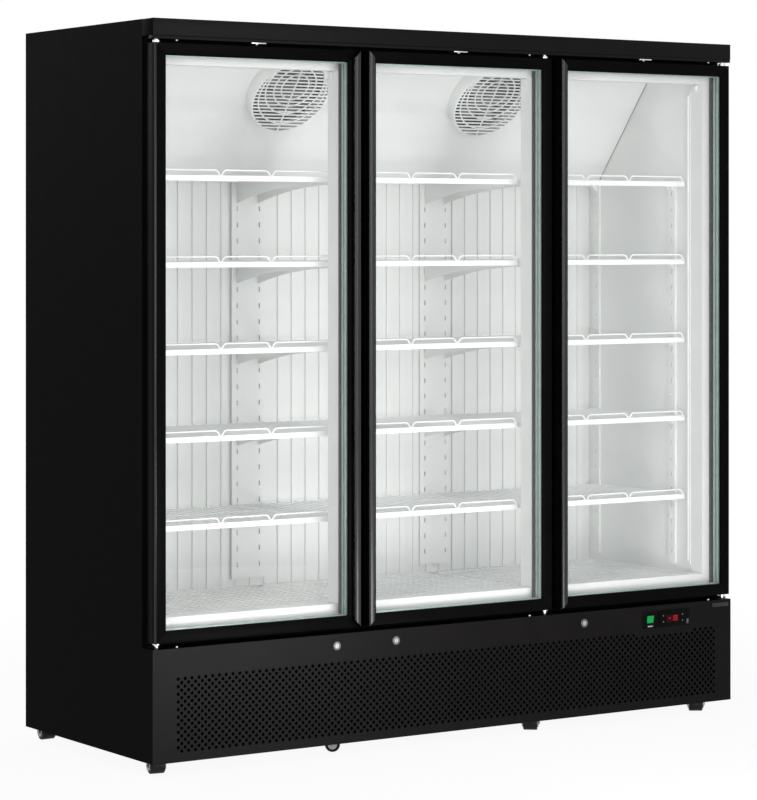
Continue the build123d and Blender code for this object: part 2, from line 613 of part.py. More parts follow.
bore_depth = PIN_REACH + PIN_END_ROOM
bore = PIN_DIAMETER + 2 * PIN_CLEARANCE
pack_y = (Y_FRONT + GLASS_RECESS, Y_FRONT + GLASS_RECESS + GLASS_PACK)
pack_z = (DOOR_Z0 + STILE_WIDTH - GROOVE_DEPTH, DOOR_Z1 - STILE_WIDTH + GROOVE_DEPTH)
for name, centre, hinge, lock_x in zip(DOOR_NAMES, DOOR_CENTRES, DOOR_HINGES, lock_xs):
    x0, x1 = span(centre, DOOR_WIDTH)
    in0, in1 = x0 + STILE_WIDTH, x1 - STILE_WIDTH
    rail0, rail1 = x0 + MITRE_GAP, x1 - MITRE_GAP
    top, bottom = DOOR_Z1 - STILE_WIDTH, DOOR_Z0 + STILE_WIDTH
    pack_x = (in0 - GROOVE_DEPTH, in1 + GROOVE_DEPTH)
    bars = (
        ((x0, DOOR_Z0), (x0, DOOR_Z1), (in0, top), (in0, bottom)),
        ((x1, DOOR_Z0), (in1, bottom), (in1, top), (x1, DOOR_Z1)),
        ((rail0, DOOR_Z1), (rail1, DOOR_Z1), (rail1 - STILE_WIDTH, top), (rail0 + STILE_WIDTH, top)),
        ((rail0, DOOR_Z0), (rail0 + STILE_WIDTH, bottom), (rail1 - STILE_WIDTH, bottom), (rail1, DOOR_Z0)),
    )
    grip_x = x0 if hinge > 0 else x1
    grip_in = grip_x + hinge * GRIP_WIDTH
    # Two stiles and two rails, mitred, with a raised grip on the stile away from the hinge
    with BuildPart() as door_frame:
        for bar in bars:
            with BuildSketch(FRONT_PLANE):
                with BuildLine():
                    Polyline(*bar, close=True)
                make_face()
            extrude(amount=-DOOR_THICKNESS)
        with BuildSketch(FRONT_PLANE):
            with BuildLine():
                Polyline(
                    (grip_x, DOOR_Z0),
                    (grip_x, DOOR_Z1),
                    (grip_in, DOOR_Z1 - GRIP_WIDTH),
                    (grip_in, DOOR_Z0 + GRIP_WIDTH),
                    close=True,
                )
            make_face()
        extrude(amount=GRIP_PROUD)
        fillet(door_frame.edges().filter_by(Axis.Z).group_by(Axis.Y)[0], radius=GRIP_ROUND)
        block(pack_x, pack_y, pack_z, Mode.SUBTRACT)
        hinge_x = pivot_x(centre, hinge)
        rod_z(hinge_x, PIVOT_Y, (DOOR_Z1 - bore_depth, DOOR_Z1), bore, Mode.SUBTRACT)
        rod_z(hinge_x, PIVOT_Y, (DOOR_Z0, DOOR_Z0 + bore_depth), bore, Mode.SUBTRACT)
        cam_top = LOCK_Z + CAM_REACH + CAM_ROOM
        block(cam_room_x(lock_x), cam_room_y, (DOOR_Z0, cam_top), Mode.SUBTRACT)
    save(door_frame, f"door_frame_{name}")

    # Three panes and the two spacer frames between them
    with BuildPart() as door_glass:
        for layer in range(PANES):
            y = pack_y[0] + layer * (PANE + PANE_GAP)
            block(pack_x, (y, y + PANE), pack_z)
        for layer in range(PANES - 1):
            y = pack_y[0] + layer * (PANE + PANE_GAP) + PANE + SPACER_GAP
            with BuildSketch(Plane.XZ.offset(-y)):
                with Locations((centre, sum(pack_z) / 2)):
                    pack_size = (pack_x[1] - pack_x[0], pack_z[1] - pack_z[0])
                    Rectangle(*pack_size)
                    inner = [size - 2 * SPACER_WIDTH for size in pack_size]
                    Rectangle(*inner, mode=Mode.SUBTRACT)
            extrude(amount=-(PANE_GAP - 2 * SPACER_GAP))
    save(door_glass, f"door_glass_{name}")

    # Magnetic gasket between the frame and the cabinet face
    with BuildPart() as door_gasket:
        with BuildSketch(Plane.XZ.offset(-Y_FRONT - DOOR_THICKNESS)):
            with Locations((centre, (DOOR_Z0 + DOOR_Z1) / 2)):
                outer = (DOOR_WIDTH - 2 * GASKET_INSET, DOOR_Z1 - DOOR_Z0 - 2 * GASKET_INSET)
                RectangleRounded(*outer, GASKET_WIDTH)
                Rectangle(outer[0] - 2 * GASKET_WIDTH, outer[1] - 2 * GASKET_WIDTH, mode=Mode.SUBTRACT)
        extrude(amount=-(FRONT_DEPTH - DOOR_THICKNESS - GASKET_GAP))
    save(door_gasket, f"door_gasket_{name}")

# Hinge brackets on the cabinet face: plate, upright flange and pin in one piece
flange_y = (Y_FACE - FLANGE_SHEET, Y_FACE)
plate_reach = (PIVOT_Y - BRACKET_FRONT, Y_FACE)
upper_z = (HEADER_Z - BRACKET_GAP_TOP - BRACKET_SHEET, HEADER_Z - BRACKET_GAP_TOP)
lower_z = (PLINTH_TOP + BRACKET_GAP_BOTTOM, PLINTH_TOP + BRACKET_GAP_BOTTOM + BRACKET_SHEET)
with BuildPart() as hinge_brackets:
    for centre, hinge in zip(DOOR_CENTRES, DOOR_HINGES):
        hinge_x = pivot_x(centre, hinge)
        width = span(hinge_x, BRACKET_WIDTH)
        block(width, plate_reach, upper_z)
        block(width, flange_y, (upper_z[1] - BRACKET_FLANGE, upper_z[1]))
        rod_z(hinge_x, PIVOT_Y, (DOOR_Z1 - PIN_REACH, upper_z[0]), PIN_DIAMETER)
        block(width, plate_reach, lower_z)
        block(width, flange_y, (lower_z[0], lower_z[0] + BRACKET_FLANGE))
        collar_top = DOOR_Z0 - COLLAR_GAP
        rod_z(hinge_x, PIVOT_Y, (collar_top - COLLAR_HEIGHT, collar_top), COLLAR_DIAMETER)
        rod_z(hinge_x, PIVOT_Y, (lower_z[1], DOOR_Z0 + PIN_REACH), PIN_DIAMETER)
save(hinge_brackets, "hinge_brackets")

# Door switch plates under the header, over the middle of each door
switch_plate_z = (HEADER_Z - SWITCH_PLATE_SHEET, HEADER_Z)
with BuildPart() as door_switch_plates:
    for centre in DOOR_CENTRES:
        plate_span = (Y_FRONT, Y_FRONT + SWITCH_PLATE_DEPTH)
        block(span(centre, SWITCH_PLATE_LENGTH), plate_span, switch_plate_z)
        bump_z = (switch_plate_z[0] - SWITCH_BUMP_HEIGHT, switch_plate_z[0])
        rod_z(centre, Y_FRONT + SWITCH_PLATE_DEPTH / 2, bump_z, 2 * SWITCH_BUMP_RADIUS)
save(door_switch_plates, "door_switch_plates")

# Evaporator cover: a sheet that slopes down from the ceiling, with a ledge back to the duct
slope_top = (Y_FACE + COVER_TOP_DEPTH, CEILING_Z)
slope_foot = (Y_FACE + COVER_FOOT_DEPTH, COVER_FOOT_Z)
slope_angle = atan2(slope_top[1] - slope_foot[1], slope_foot[0] - slope_top[0])
fan_y = slope_foot[0] - (FAN_CENTRE_Z - slope_foot[1]) * cos(slope_angle) / sin(slope_angle)
fan_out = (0, -sin(slope_angle), -cos(slope_angle))
fan_planes = [
    Plane(origin=(x, fan_y, FAN_CENTRE_Z), x_dir=(1, 0, 0), z_dir=fan_out)
    for x in (-FAN_CENTRE_X, FAN_CENTRE_X)
]
cover_half = INNER_HALF - SEAM
with BuildPart() as evaporator_cover:
    with BuildSketch(Plane.YZ.offset(-cover_half)):
        with BuildLine():
            back = COVER_SHEET / sin(slope_angle)
            rise = COVER_SHEET
            Polyline(
                slope_top,
                slope_foot,
                (DUCT_Y - SEAM, slope_foot[1]),
                (DUCT_Y - SEAM, slope_foot[1] + rise),
                (slope_foot[0] + back / 2, slope_foot[1] + rise),
                (slope_top[0] + back, slope_top[1]),
                close=True,
            )
        make_face()
    extrude(amount=2 * cover_half)
    for plane in fan_planes:
        with BuildSketch(plane):
            Circle(FAN_OPENING / 2)
        extrude(amount=FAN_SET_BACK, both=True, mode=Mode.SUBTRACT)
save(evaporator_cover, "evaporator_cover")

# Fan guards: shallow drums on the cover, each face a grid of slats, rings and one rib up the slope
guard_radius = GUARD_DIAMETER / 2
guard_inner = guard_radius - GUARD_WALL
with BuildPart() as fan_guards:
    for plane in fan_planes:
        with BuildSketch(plane):
            Circle(guard_radius)
            Circle(guard_inner, mode=Mode.SUBTRACT)
        extrude(amount=GUARD_PROUD)
        with BuildSketch(plane.offset(GUARD_PROUD - GUARD_SHEET)):
            with Locations((0, GUARD_RING_RISE)):
                for radius in GUARD_RINGS:
                    Circle(radius + GUARD_WIRE / 2)
                    Circle(radius - GUARD_WIRE / 2, mode=Mode.SUBTRACT)
            for slat in range(GUARD_SLATS):
                with Locations((0, (slat - (GUARD_SLATS - 1) / 2) * GUARD_SLAT_PITCH)):
                    Rectangle(GUARD_DIAMETER, GUARD_WIRE)
            Rectangle(GUARD_WIRE, GUARD_DIAMETER)
            Circle(guard_inner, mode=Mode.INTERSECT)
        extrude(amount=GUARD_SHEET)
    split(bisect_by=Plane.XY.offset(CEILING_Z - SEAM), keep=Keep.BOTTOM)
save(fan_guards, "fan_guards")


def fan(plane, set_back):
    """Bladed fan, its hub starting the set-back behind a plane, bored for its shaft."""
    hub_middle = -set_back - FAN_HUB_LENGTH / 2
    with BuildPart(plane) as wheel:
        with Locations((0, 0, hub_middle)):
            Cylinder(FAN_HUB_DIAMETER / 2, FAN_HUB_LENGTH)
        root = FAN_HUB_DIAMETER / 2 - FAN_BLADE_SINK
        length = FAN_DIAMETER / 2 - root
        for blade in range(FAN_BLADES):
            turn = blade * 360 / FAN_BLADES
            reach = root + length / 2
            place = (reach * cos(radians(turn)), reach * sin(radians(turn)), hub_middle)
            with Locations(Location(place, (0, 0, turn)) * Location((0, 0, 0), (FAN_BLADE_PITCH, 0, 0))):
                Box(length, FAN_BLADE_CHORD, FAN_BLADE_SHEET)
        with Locations((0, 0, hub_middle)):
            Cylinder(FAN_SHAFT_DIAMETER / 2 + FAN_SHAFT_CLEARANCE, FAN_HUB_LENGTH, mode=Mode.SUBTRACT)
    return wheel


save(fan(fan_planes[0], -FAN_PROUD), "evaporator_fan_left")
save(fan(fan_planes[1], -FAN_PROUD), "evaporator_fan_right")

# Condenser behind the grille, its shroud, and the fan that draws air through it
condenser_y = tuple(Y_FACE + depth for depth in CONDENSER_DEPTH)
condenser_mid = sum(CONDENSER_X) / 2
shroud_y = (condenser_y[1] + SHROUD_GAP, condenser_y[1] + SHROUD_GAP + COVER_SHEET)


def finned_block(x, y, z, pitch, gap, spine):
    """Comb of upright fins on a spine along the bottom."""
    slots = int((x[1] - x[0] - pitch + gap) // pitch)
    with BuildSketch(Plane.XZ.offset(-y[0])) as comb:
        with Locations((sum(x) / 2, sum(z) / 2)):
            Rectangle(x[1] - x[0], z[1] - z[0])
        with Locations((sum(x) / 2, (z[0] + spine + z[1]) / 2)):
            with GridLocations(pitch, pitch, slots, 1):
                Rectangle(gap, z[1] - z[0] - spine, mode=Mode.SUBTRACT)
    extrude(comb.sketch, amount=y[0] - y[1])


with BuildPart() as condenser_coil:
    finned_block(
        CONDENSER_X, condenser_y, CONDENSER_Z, CONDENSER_FIN_PITCH, CONDENSER_FIN_GAP, CONDENSER_SPINE
    )
    with BuildSketch(Plane.XZ.offset(-shroud_y[0])):
        with Locations((condenser_mid, sum(CONDENSER_Z) / 2)):
            Rectangle(CONDENSER_X[1] - CONDENSER_X[0], CONDENSER_Z[1] - CONDENSER_Z[0])
        with Locations((condenser_mid, SHROUD_Z)):
            Circle(SHROUD_OPENING / 2, mode=Mode.SUBTRACT)
    extrude(amount=-COVER_SHEET)
save(condenser_coil, "condenser_coil")

condenser_plane = Plane(origin=(condenser_mid, shroud_y[0], SHROUD_Z), x_dir=(1, 0, 0), z_dir=(0, -1, 0))
save(fan(condenser_plane, FAN_SET_BACK), "condenser_fan")

# Fan motors: a can with a shaft that carries the fan, on a stay across the opening
with BuildPart() as fan_motors:
    for plane, hub_front in zip((*fan_planes, condenser_plane), (FAN_PROUD, FAN_PROUD, -FAN_SET_BACK)):
        motor_front = hub_front - FAN_HUB_LENGTH - FAN_MOTOR_GAP
        with BuildSketch(plane.offset(motor_front)):
            Circle(FAN_MOTOR_DIAMETER / 2)
        extrude(amount=-FAN_MOTOR_LENGTH)
        with BuildSketch(plane.offset(motor_front)):
            Circle(FAN_SHAFT_DIAMETER / 2)
        extrude(amount=FAN_HUB_LENGTH + FAN_MOTOR_GAP)
        stay_top = motor_front - FAN_MOTOR_LENGTH
        with BuildSketch(plane.offset(stay_top)):
            Rectangle(FAN_STAY_LENGTH, FAN_STAY_WIDTH)
        extrude(amount=-FAN_STAY_SHEET)
        for side in (-1, 1):
            with BuildSketch(plane.offset(stay_top - FAN_STAY_SHEET)):
                with Locations((side * (FAN_STAY_LENGTH - FAN_STAY_SHEET) / 2, 0)):
                    Rectangle(FAN_STAY_SHEET, FAN_STAY_WIDTH)
            extrude(amount=FAN_STAY_SHEET - stay_top - COVER_SHEET - SEAM)
save(fan_motors, "fan_motors")

# Evaporator coil behind the cover
with BuildPart() as evaporator_coil:
    coil_y = tuple(Y_FACE + depth for depth in COIL_DEPTH)
    coil_x = (-COIL_HALF_WIDTH, COIL_HALF_WIDTH)
    coil_z = (COIL_FOOT_Z, CEILING_Z)
    finned_block(coil_x, coil_y, coil_z, COIL_FIN_PITCH, COIL_FIN_GAP, COIL_SPINE)
save(evaporator_coil, "evaporator_coil")

# Ribbed duct panel at the back of the cold space
with BuildPart() as back_duct_panel:
    with BuildSketch(Plane.XY.offset(DUCT_FOOT_Z)):
        with Locations((0, DUCT_Y + DUCT_SHEET / 2)):
            Rectangle(2 * cover_half, DUCT_SHEET)
        with Locations((0, DUCT_Y - RIB_HEIGHT / 2)):
            with GridLocations(RIB_PITCH, RIB_PITCH, RIB_COUNT, 1):
                Rectangle(RIB_WIDTH, RIB_HEIGHT)
    extrude(amount=COVER_FOOT_Z - SEAM - DUCT_FOOT_Z)
save(back_duct_panel, "back_duct_panel")

# Slotted strips behind the mullions and uprights on the side walls
upright_y = [Y_FACE + depth for depth in UPRIGHT_DEPTHS]
strip_mid = (STRIP_FOOT_Z + STRIP_TOP_Z) / 2
strip_length = STRIP_TOP_Z - STRIP_FOOT_Z
slot_zs = [strip_mid + (row - (SLOT_ROWS - 1) / 2) * SLOT_PITCH for row in range(SLOT_ROWS)]
with BuildPart() as shelf_uprights:
    for side in (-1, 1):
        slots = [
            Wire.make_rect(*SLOT_SIZE, facing_front(side * MULLION_X + column, STRIP_Y, z))
            for column in (-SLOT_COLUMN_X, SLOT_COLUMN_X)
            for z in slot_zs
        ]
        strip_plane = facing_front(side * MULLION_X, STRIP_Y, strip_mid)
        strip = holed_face(strip_plane, (STRIP_WIDTH, strip_length), slots)
        extrude(strip, amount=STRIP_SHEET, dir=(0, 1, 0), clean=False)
        wall_x = side * INNER_HALF
        for y in upright_y:
            slots = [Wire.make_rect(*SLOT_SIZE, facing_right(wall_x, y, z)) for z in slot_zs]
            upright = holed_face(facing_right(wall_x, y, strip_mid), (UPRIGHT_WIDTH, strip_length), slots)
            extrude(upright, amount=UPRIGHT_SHEET, dir=(-side, 0, 0), clean=False)
save(shelf_uprights, "shelf_uprights")

# Shelf brackets: curved cantilevers on the strips, small gussets on the side uprights
seats = [shelf_top - SHELF_THICKNESS for shelf_top in SHELF_TOPS]
tip_y = STRIP_Y - BRACKET_LENGTH
with BuildPart() as shelf_brackets:
    for mullion in (-MULLION_X, MULLION_X):
        for turn in (-1, 1):
            outer_face = mullion + turn * SLOT_COLUMN_X
            web_x = sorted((outer_face, outer_face - turn * BRACKET_PLATE))
            with BuildSketch(Plane.YZ.offset(web_x[0])):
                for seat in seats:
                    with BuildLine():
                        root = (STRIP_Y, seat - BRACKET_ROOT)
                        tip = (tip_y, seat - BRACKET_TIP)
                        Polyline(root, (STRIP_Y, seat), (tip_y, seat), tip)
                        TangentArc(tip, root, tangent=(1, 0))
                    make_face()
            extrude(amount=BRACKET_PLATE, clean=False)
            with BuildSketch(Plane.YZ.offset(outer_face)):
                for seat in seats:
                    with Locations(((tip_y + STRIP_Y) / 2, seat - BRACKET_PLATE / 2)):
                        Rectangle(BRACKET_LENGTH, BRACKET_PLATE)
            extrude(amount=turn * BRACKET_LEDGE)
    for y in upright_y:
        with BuildSketch(Plane.XZ.offset(-(y - CLIP_WIDTH / 2))):
            for side in (-1, 1):
                wall_x = side * (INNER_HALF - UPRIGHT_SHEET)
                for seat in seats:
                    with BuildLine():
                        corner = (wall_x - side * CLIP_REACH, seat)
                        Polyline((wall_x, seat - CLIP_HEIGHT), (wall_x, seat), corner, close=True)
                    make_face()
        extrude(amount=-CLIP_WIDTH, clean=False)
save(shelf_brackets, "shelf_brackets")


def wire_grid(y, top, width):
    """Face under a flat grid of welded wires, about the middle of a bay."""
    level = top - SHELF_THICKNESS
    depth = y[1] - y[0]
    middle = sum(y) / 2
    cell = ((width - SHELF_WIRE) / SHELF_COLUMNS, (depth - SHELF_WIRE) / SHELF_ROWS)
    gap = [size - SHELF_WIRE for size in cell]
    gaps = [
        Wire.make_rect(
            *gap,
            Plane(
                (
                    (column - (SHELF_COLUMNS - 1) / 2) * cell[0],
                    middle + (row - (SHELF_ROWS - 1) / 2) * cell[1],
                    level,
                )
            ),
        )
        for column in range(SHELF_COLUMNS)
        for row in range(SHELF_ROWS)
    ]
    return holed_face(Plane((0, middle, level)), (width, depth), gaps)


def rail_points(top):
    """Line of a shelf's front rail: two V notches, and ends bent down in front of the lip."""
    half = SHELF_WIDTH / 2 - RAIL_END
    crest = top + RAIL_RISE
    notch = top - RAIL_WIRE
    points = [(-half, notch), (RAIL_END - half, crest)]
    for x in (-RAIL_NOTCH_X, RAIL_NOTCH_X):
        points += [(x - RAIL_NOTCH_HALF, crest), (x, notch), (x + RAIL_NOTCH_HALF, crest)]
    return points + [(half - RAIL_END, crest), (half, notch)]


# Five wire shelves and one floor grid, made for the middle bay and repeated in the others
shelf_y = (Y_FACE + SHELF_FRONT, Y_FACE + SHELF_FRONT + SHELF_DEPTH)
lip_y = (shelf_y[0] - SEAM - LIP_SHEET, shelf_y[0] - SEAM)
wire_y = lip_y[0] - SEAM - RAIL_WIRE
with BuildPart() as bay_shelves:
    with BuildSketch(Plane.XZ.offset(-wire_y)):
        for shelf_top in SHELF_TOPS:
            with BuildLine():
                Polyline(*rail_points(shelf_top))
            trace(line_width=RAIL_WIRE)
    extrude(amount=-RAIL_WIRE)
    for shelf_top in SHELF_TOPS:
        block((-SHELF_WIDTH / 2, SHELF_WIDTH / 2), lip_y, (shelf_top - LIP_HEIGHT, shelf_top))
    for y in (shelf_y[0], shelf_y[1] - RUNNER_WIDTH):
        runner_z = (FLOOR_Z, FLOOR_GRID_Z - SHELF_THICKNESS - SEAM)
        block((-FLOOR_GRID_WIDTH / 2, FLOOR_GRID_WIDTH / 2), (y, y + RUNNER_WIDTH), runner_z)
    grids = [wire_grid(shelf_y, shelf_top, SHELF_WIDTH) for shelf_top in SHELF_TOPS]
    grids.append(wire_grid(shelf_y, FLOOR_GRID_Z, FLOOR_GRID_WIDTH))
    extrude(grids, amount=SHELF_THICKNESS, dir=(0, 0, 1), clean=False)
for name, bay in zip(DOOR_NAMES, (-SHELF_BAY_X, 0.0, SHELF_BAY_X)):
    with BuildPart() as shelves:
        with Locations((bay, 0, 0)):
            add(bay_shelves.part)
    save(shelves, f"shelves_{name}")

# Lamps behind the mullions and beside the posts
with BuildPart() as led_lamps:
    lamp_y = (LINER_FRONT, LINER_FRONT + LAMP_DEPTH)
    for side in (-1, 1):
        block(span(side * MULLION_X, LAMP_WIDTH), lamp_y, LAMP_Z)
        block(sorted((side * INNER_HALF, side * (INNER_HALF - SIDE_LAMP_WIDTH))), lamp_y, LAMP_Z)
save(led_lamps, "led_lamps")

# Compressor: domed pot on a foot plate, with its terminal box
compressor_y = Y_FACE + COMPRESSOR_DEPTH
compressor_foot = rail_z[1]
with BuildPart() as compressor:
    foot_z = (compressor_foot, compressor_foot + COMPRESSOR_FOOT_SHEET)
    block(span(COMPRESSOR_X, COMPRESSOR_FOOT[0]), span(compressor_y, COMPRESSOR_FOOT[1]), foot_z)
    pot_z = (foot_z[1], foot_z[1] + COMPRESSOR_HEIGHT)
    rod_z(COMPRESSOR_X, compressor_y, pot_z, COMPRESSOR_DIAMETER)
    fillet(compressor.edges().filter_by(GeomType.CIRCLE).group_by(Axis.Z)[-1], radius=COMPRESSOR_DOME)
    pot_side = COMPRESSOR_X + COMPRESSOR_DIAMETER / 2
    box_x = (pot_side - COMPRESSOR_BOX_SINK, pot_side + COMPRESSOR_BOX[1])
    box_foot = pot_z[0] + COMPRESSOR_BOX_RISE
    block(box_x, span(compressor_y, COMPRESSOR_BOX[0]), (box_foot, box_foot + COMPRESSOR_BOX[2]))
save(compressor, "compressor")

# Cable inlet through the rear sheet
with BuildPart() as cable_inlet:
    rod_y(INLET_X, (back_y[1], Y_BACK), INLET_Z, INLET_DIAMETER + 2 * INLET_FLANGE)
    rod_y(INLET_X, (back_y[1] - INLET_LENGTH, back_y[1]), INLET_Z, INLET_DIAMETER)
    rod_y(INLET_X, (back_y[1] - INLET_LENGTH, Y_BACK), INLET_Z, INLET_BORE, Mode.SUBTRACT)
save(cable_inlet, "cable_inlet")


# Castors. Each is made on a plane at its kingpin, the wheel trailing along that plane's -X.
def castor_plane(x, y, heading):
    """Floor plane at a kingpin, its X away from the wheel."""
    turn = radians(heading)
    return Plane(origin=(x, y, 0), x_dir=(cos(turn), sin(turn), 0), z_dir=(0, 0, 1))


wheel_radius = WHEEL_DIAMETER / 2
leg_gap = WHEEL_WIDTH / 2 + WHEEL_SIDE_GAP
fork_width = 2 * (leg_gap + FORK_SHEET)
bridge_length = CASTOR_TRAIL + FORK_LEG_WIDTH / 2 + RACE_DIAMETER / 2


def fork_shape():
    """Bridge, two legs and the axle, about the kingpin at the origin."""
    bridge_z = (FORK_BRIDGE_Z, FORK_BRIDGE_Z + FORK_BRIDGE_SHEET)
    bridge_x = (RACE_DIAMETER / 2 - bridge_length, RACE_DIAMETER / 2)
    block(bridge_x, (-fork_width / 2, fork_width / 2), bridge_z)
    leg_x = span(-CASTOR_TRAIL, FORK_LEG_WIDTH)
    for side in (-1, 1):
        leg_y = sorted((side * leg_gap, side * fork_width / 2))
        block(leg_x, leg_y, (wheel_radius, FORK_BRIDGE_Z))
        rod_y(-CASTOR_TRAIL, leg_y, wheel_radius, FORK_LEG_WIDTH)
    rod_y(-CASTOR_TRAIL, (-fork_width / 2, fork_width / 2), wheel_radius, AXLE_DIAMETER)


def castor_wheel(plane):
    """Wheel with rounded tread edges and a bore for the axle."""
    with BuildPart(plane) as wheel:
        width = (-WHEEL_WIDTH / 2, WHEEL_WIDTH / 2)
        rod_y(-CASTOR_TRAIL, width, wheel_radius, WHEEL_DIAMETER)
        fillet(wheel.edges().filter_by(GeomType.CIRCLE), radius=WHEEL_ROUND)
        rod_y(-CASTOR_TRAIL, width, wheel_radius, AXLE_DIAMETER + 2 * AXLE_CLEARANCE, Mode.SUBTRACT)
    return wheel


castor_y = Y_FRONT + CASTOR_SETBACK + CASTOR_TRAIL
rear_y = Y_BACK - REAR_CASTOR_SETBACK
front_planes = [castor_plane(x, castor_y, heading) for x, heading in zip(CASTOR_XS, CASTOR_HEADINGS)]
rear_planes = [castor_plane(x, rear_y, REAR_CASTOR_HEADING) for x in CASTOR_XS]
for number, plane in enumerate(front_planes, 1):
    with BuildPart(plane) as castor_fork:
        fork_shape()
        bore_z = (FORK_BRIDGE_Z, FORK_BRIDGE_Z + FORK_BRIDGE_SHEET)
        rod_z(0, 0, bore_z, KINGPIN_DIAMETER + 2 * KINGPIN_CLEARANCE, Mode.SUBTRACT)
    save(castor_fork, f"castor_fork_{number}")
    save(castor_wheel(plane), f"castor_wheel_{number}")
for number, plane in enumerate(rear_planes, 1):
    save(castor_wheel(plane), f"rear_wheel_{number}")

# Castor mounts: plates with races and kingpins in front, plates with fixed forks behind
race_foot = FORK_BRIDGE_Z + FORK_BRIDGE_SHEET + RACE_GAP
head_z = (FORK_BRIDGE_Z - RACE_GAP - KINGPIN_HEAD_HEIGHT, FORK_BRIDGE_Z - RACE_GAP)
with BuildPart() as castor_mounts:
    for x in CASTOR_XS:
        for y in (castor_y, rear_y):
            block(span(x, CASTOR_PLATE), span(y, CASTOR_PLATE), (CASTOR_TOP, RAIL_Z))
        rod_z(x, castor_y, (race_foot, CASTOR_TOP), RACE_DIAMETER)
        rod_z(x, castor_y, (head_z[0], race_foot), KINGPIN_DIAMETER)
        rod_z(x, castor_y, head_z, KINGPIN_HEAD)
        rod_z(x, rear_y, (FORK_BRIDGE_Z + FORK_BRIDGE_SHEET, CASTOR_TOP), RACE_DIAMETER)
save(castor_mounts, "castor_mounts")

with BuildPart(*rear_planes) as rear_castor_forks:
    fork_shape()
save(rear_castor_forks, "rear_castor_forks")
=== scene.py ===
"""Upright display freezer with three glass doors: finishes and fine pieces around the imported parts.

Sizes are in metres, colours are linear, and the front looks along -Y.
"""

import json
import logging
import math
from contextlib import contextmanager
from dataclasses import dataclass, field
from enum import Enum
from typing import Iterable, Iterator, Sequence

import bpy
from mathutils import Matrix, Vector

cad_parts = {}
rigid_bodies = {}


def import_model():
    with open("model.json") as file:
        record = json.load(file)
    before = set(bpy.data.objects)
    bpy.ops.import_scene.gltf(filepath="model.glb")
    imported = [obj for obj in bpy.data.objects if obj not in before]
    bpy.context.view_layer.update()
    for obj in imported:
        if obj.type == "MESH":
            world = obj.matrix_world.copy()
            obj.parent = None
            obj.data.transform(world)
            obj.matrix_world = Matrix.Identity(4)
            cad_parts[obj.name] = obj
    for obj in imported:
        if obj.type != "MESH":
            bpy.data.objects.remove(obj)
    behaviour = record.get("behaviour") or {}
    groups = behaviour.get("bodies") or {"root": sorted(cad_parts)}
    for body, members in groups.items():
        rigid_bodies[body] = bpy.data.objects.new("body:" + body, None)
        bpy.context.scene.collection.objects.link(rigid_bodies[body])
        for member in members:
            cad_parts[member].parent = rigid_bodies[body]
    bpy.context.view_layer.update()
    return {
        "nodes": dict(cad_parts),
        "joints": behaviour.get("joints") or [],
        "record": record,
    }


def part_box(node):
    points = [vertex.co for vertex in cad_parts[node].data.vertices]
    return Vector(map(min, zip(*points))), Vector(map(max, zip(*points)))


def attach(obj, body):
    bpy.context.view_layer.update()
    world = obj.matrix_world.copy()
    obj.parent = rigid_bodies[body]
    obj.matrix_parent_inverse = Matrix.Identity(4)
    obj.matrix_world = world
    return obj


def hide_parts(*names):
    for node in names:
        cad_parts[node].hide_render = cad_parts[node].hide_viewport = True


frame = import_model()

LOG = logging.getLogger("display_freezer")
CABINET = "cabinet"
HEADER_LIP = 0.009
CUT_ROOM = 0.01
WELD = 1e-6
SOFT_ANGLE = math.radians(40.0)
ROD_ANGLE = math.radians(50.0)
WIRE_ANGLE = math.radians(60.0)
SPIN_ANGLE = math.radians(35.0)
FINE_DETAIL = 3.0
BROAD_DETAIL = 2.0
BROAD_SHARE = 60.0
BUMP_DEPTH = 0.0004
TINT_ENDS = (0.3, 0.7)
ROUGH_SPREAD = 0.15

Piece = bpy.types.Object
Point = Sequence[float]
Colour = tuple[float, float, float]


class Side(Enum):
    """Where a door or a bay stands, seen from the front."""

    LEFT = "left"
    CENTRE = "centre"
    RIGHT = "right"


class Grain(Enum):
    """Fine structure of a surface: stretch of its noise along X, Y and Z, and its scale."""

    POWDER = ((1.0, 1.0, 1.0), 1400.0)
    SATIN = ((1.0, 1.0, 1.0), 700.0)
    ENAMEL = ((1.0, 1.0, 1.0), 90.0)
    BRUSHED = ((1.0, 1.0, 24.0), 160.0)
    SPANGLE = ((1.0, 1.0, 1.0), 150.0)
    MOULDED = ((1.0, 1.0, 1.0), 420.0)
    FOAM = ((1.0, 1.0, 1.0), 260.0)
    CLEAR = ((1.0, 1.0, 1.0), 12.0)


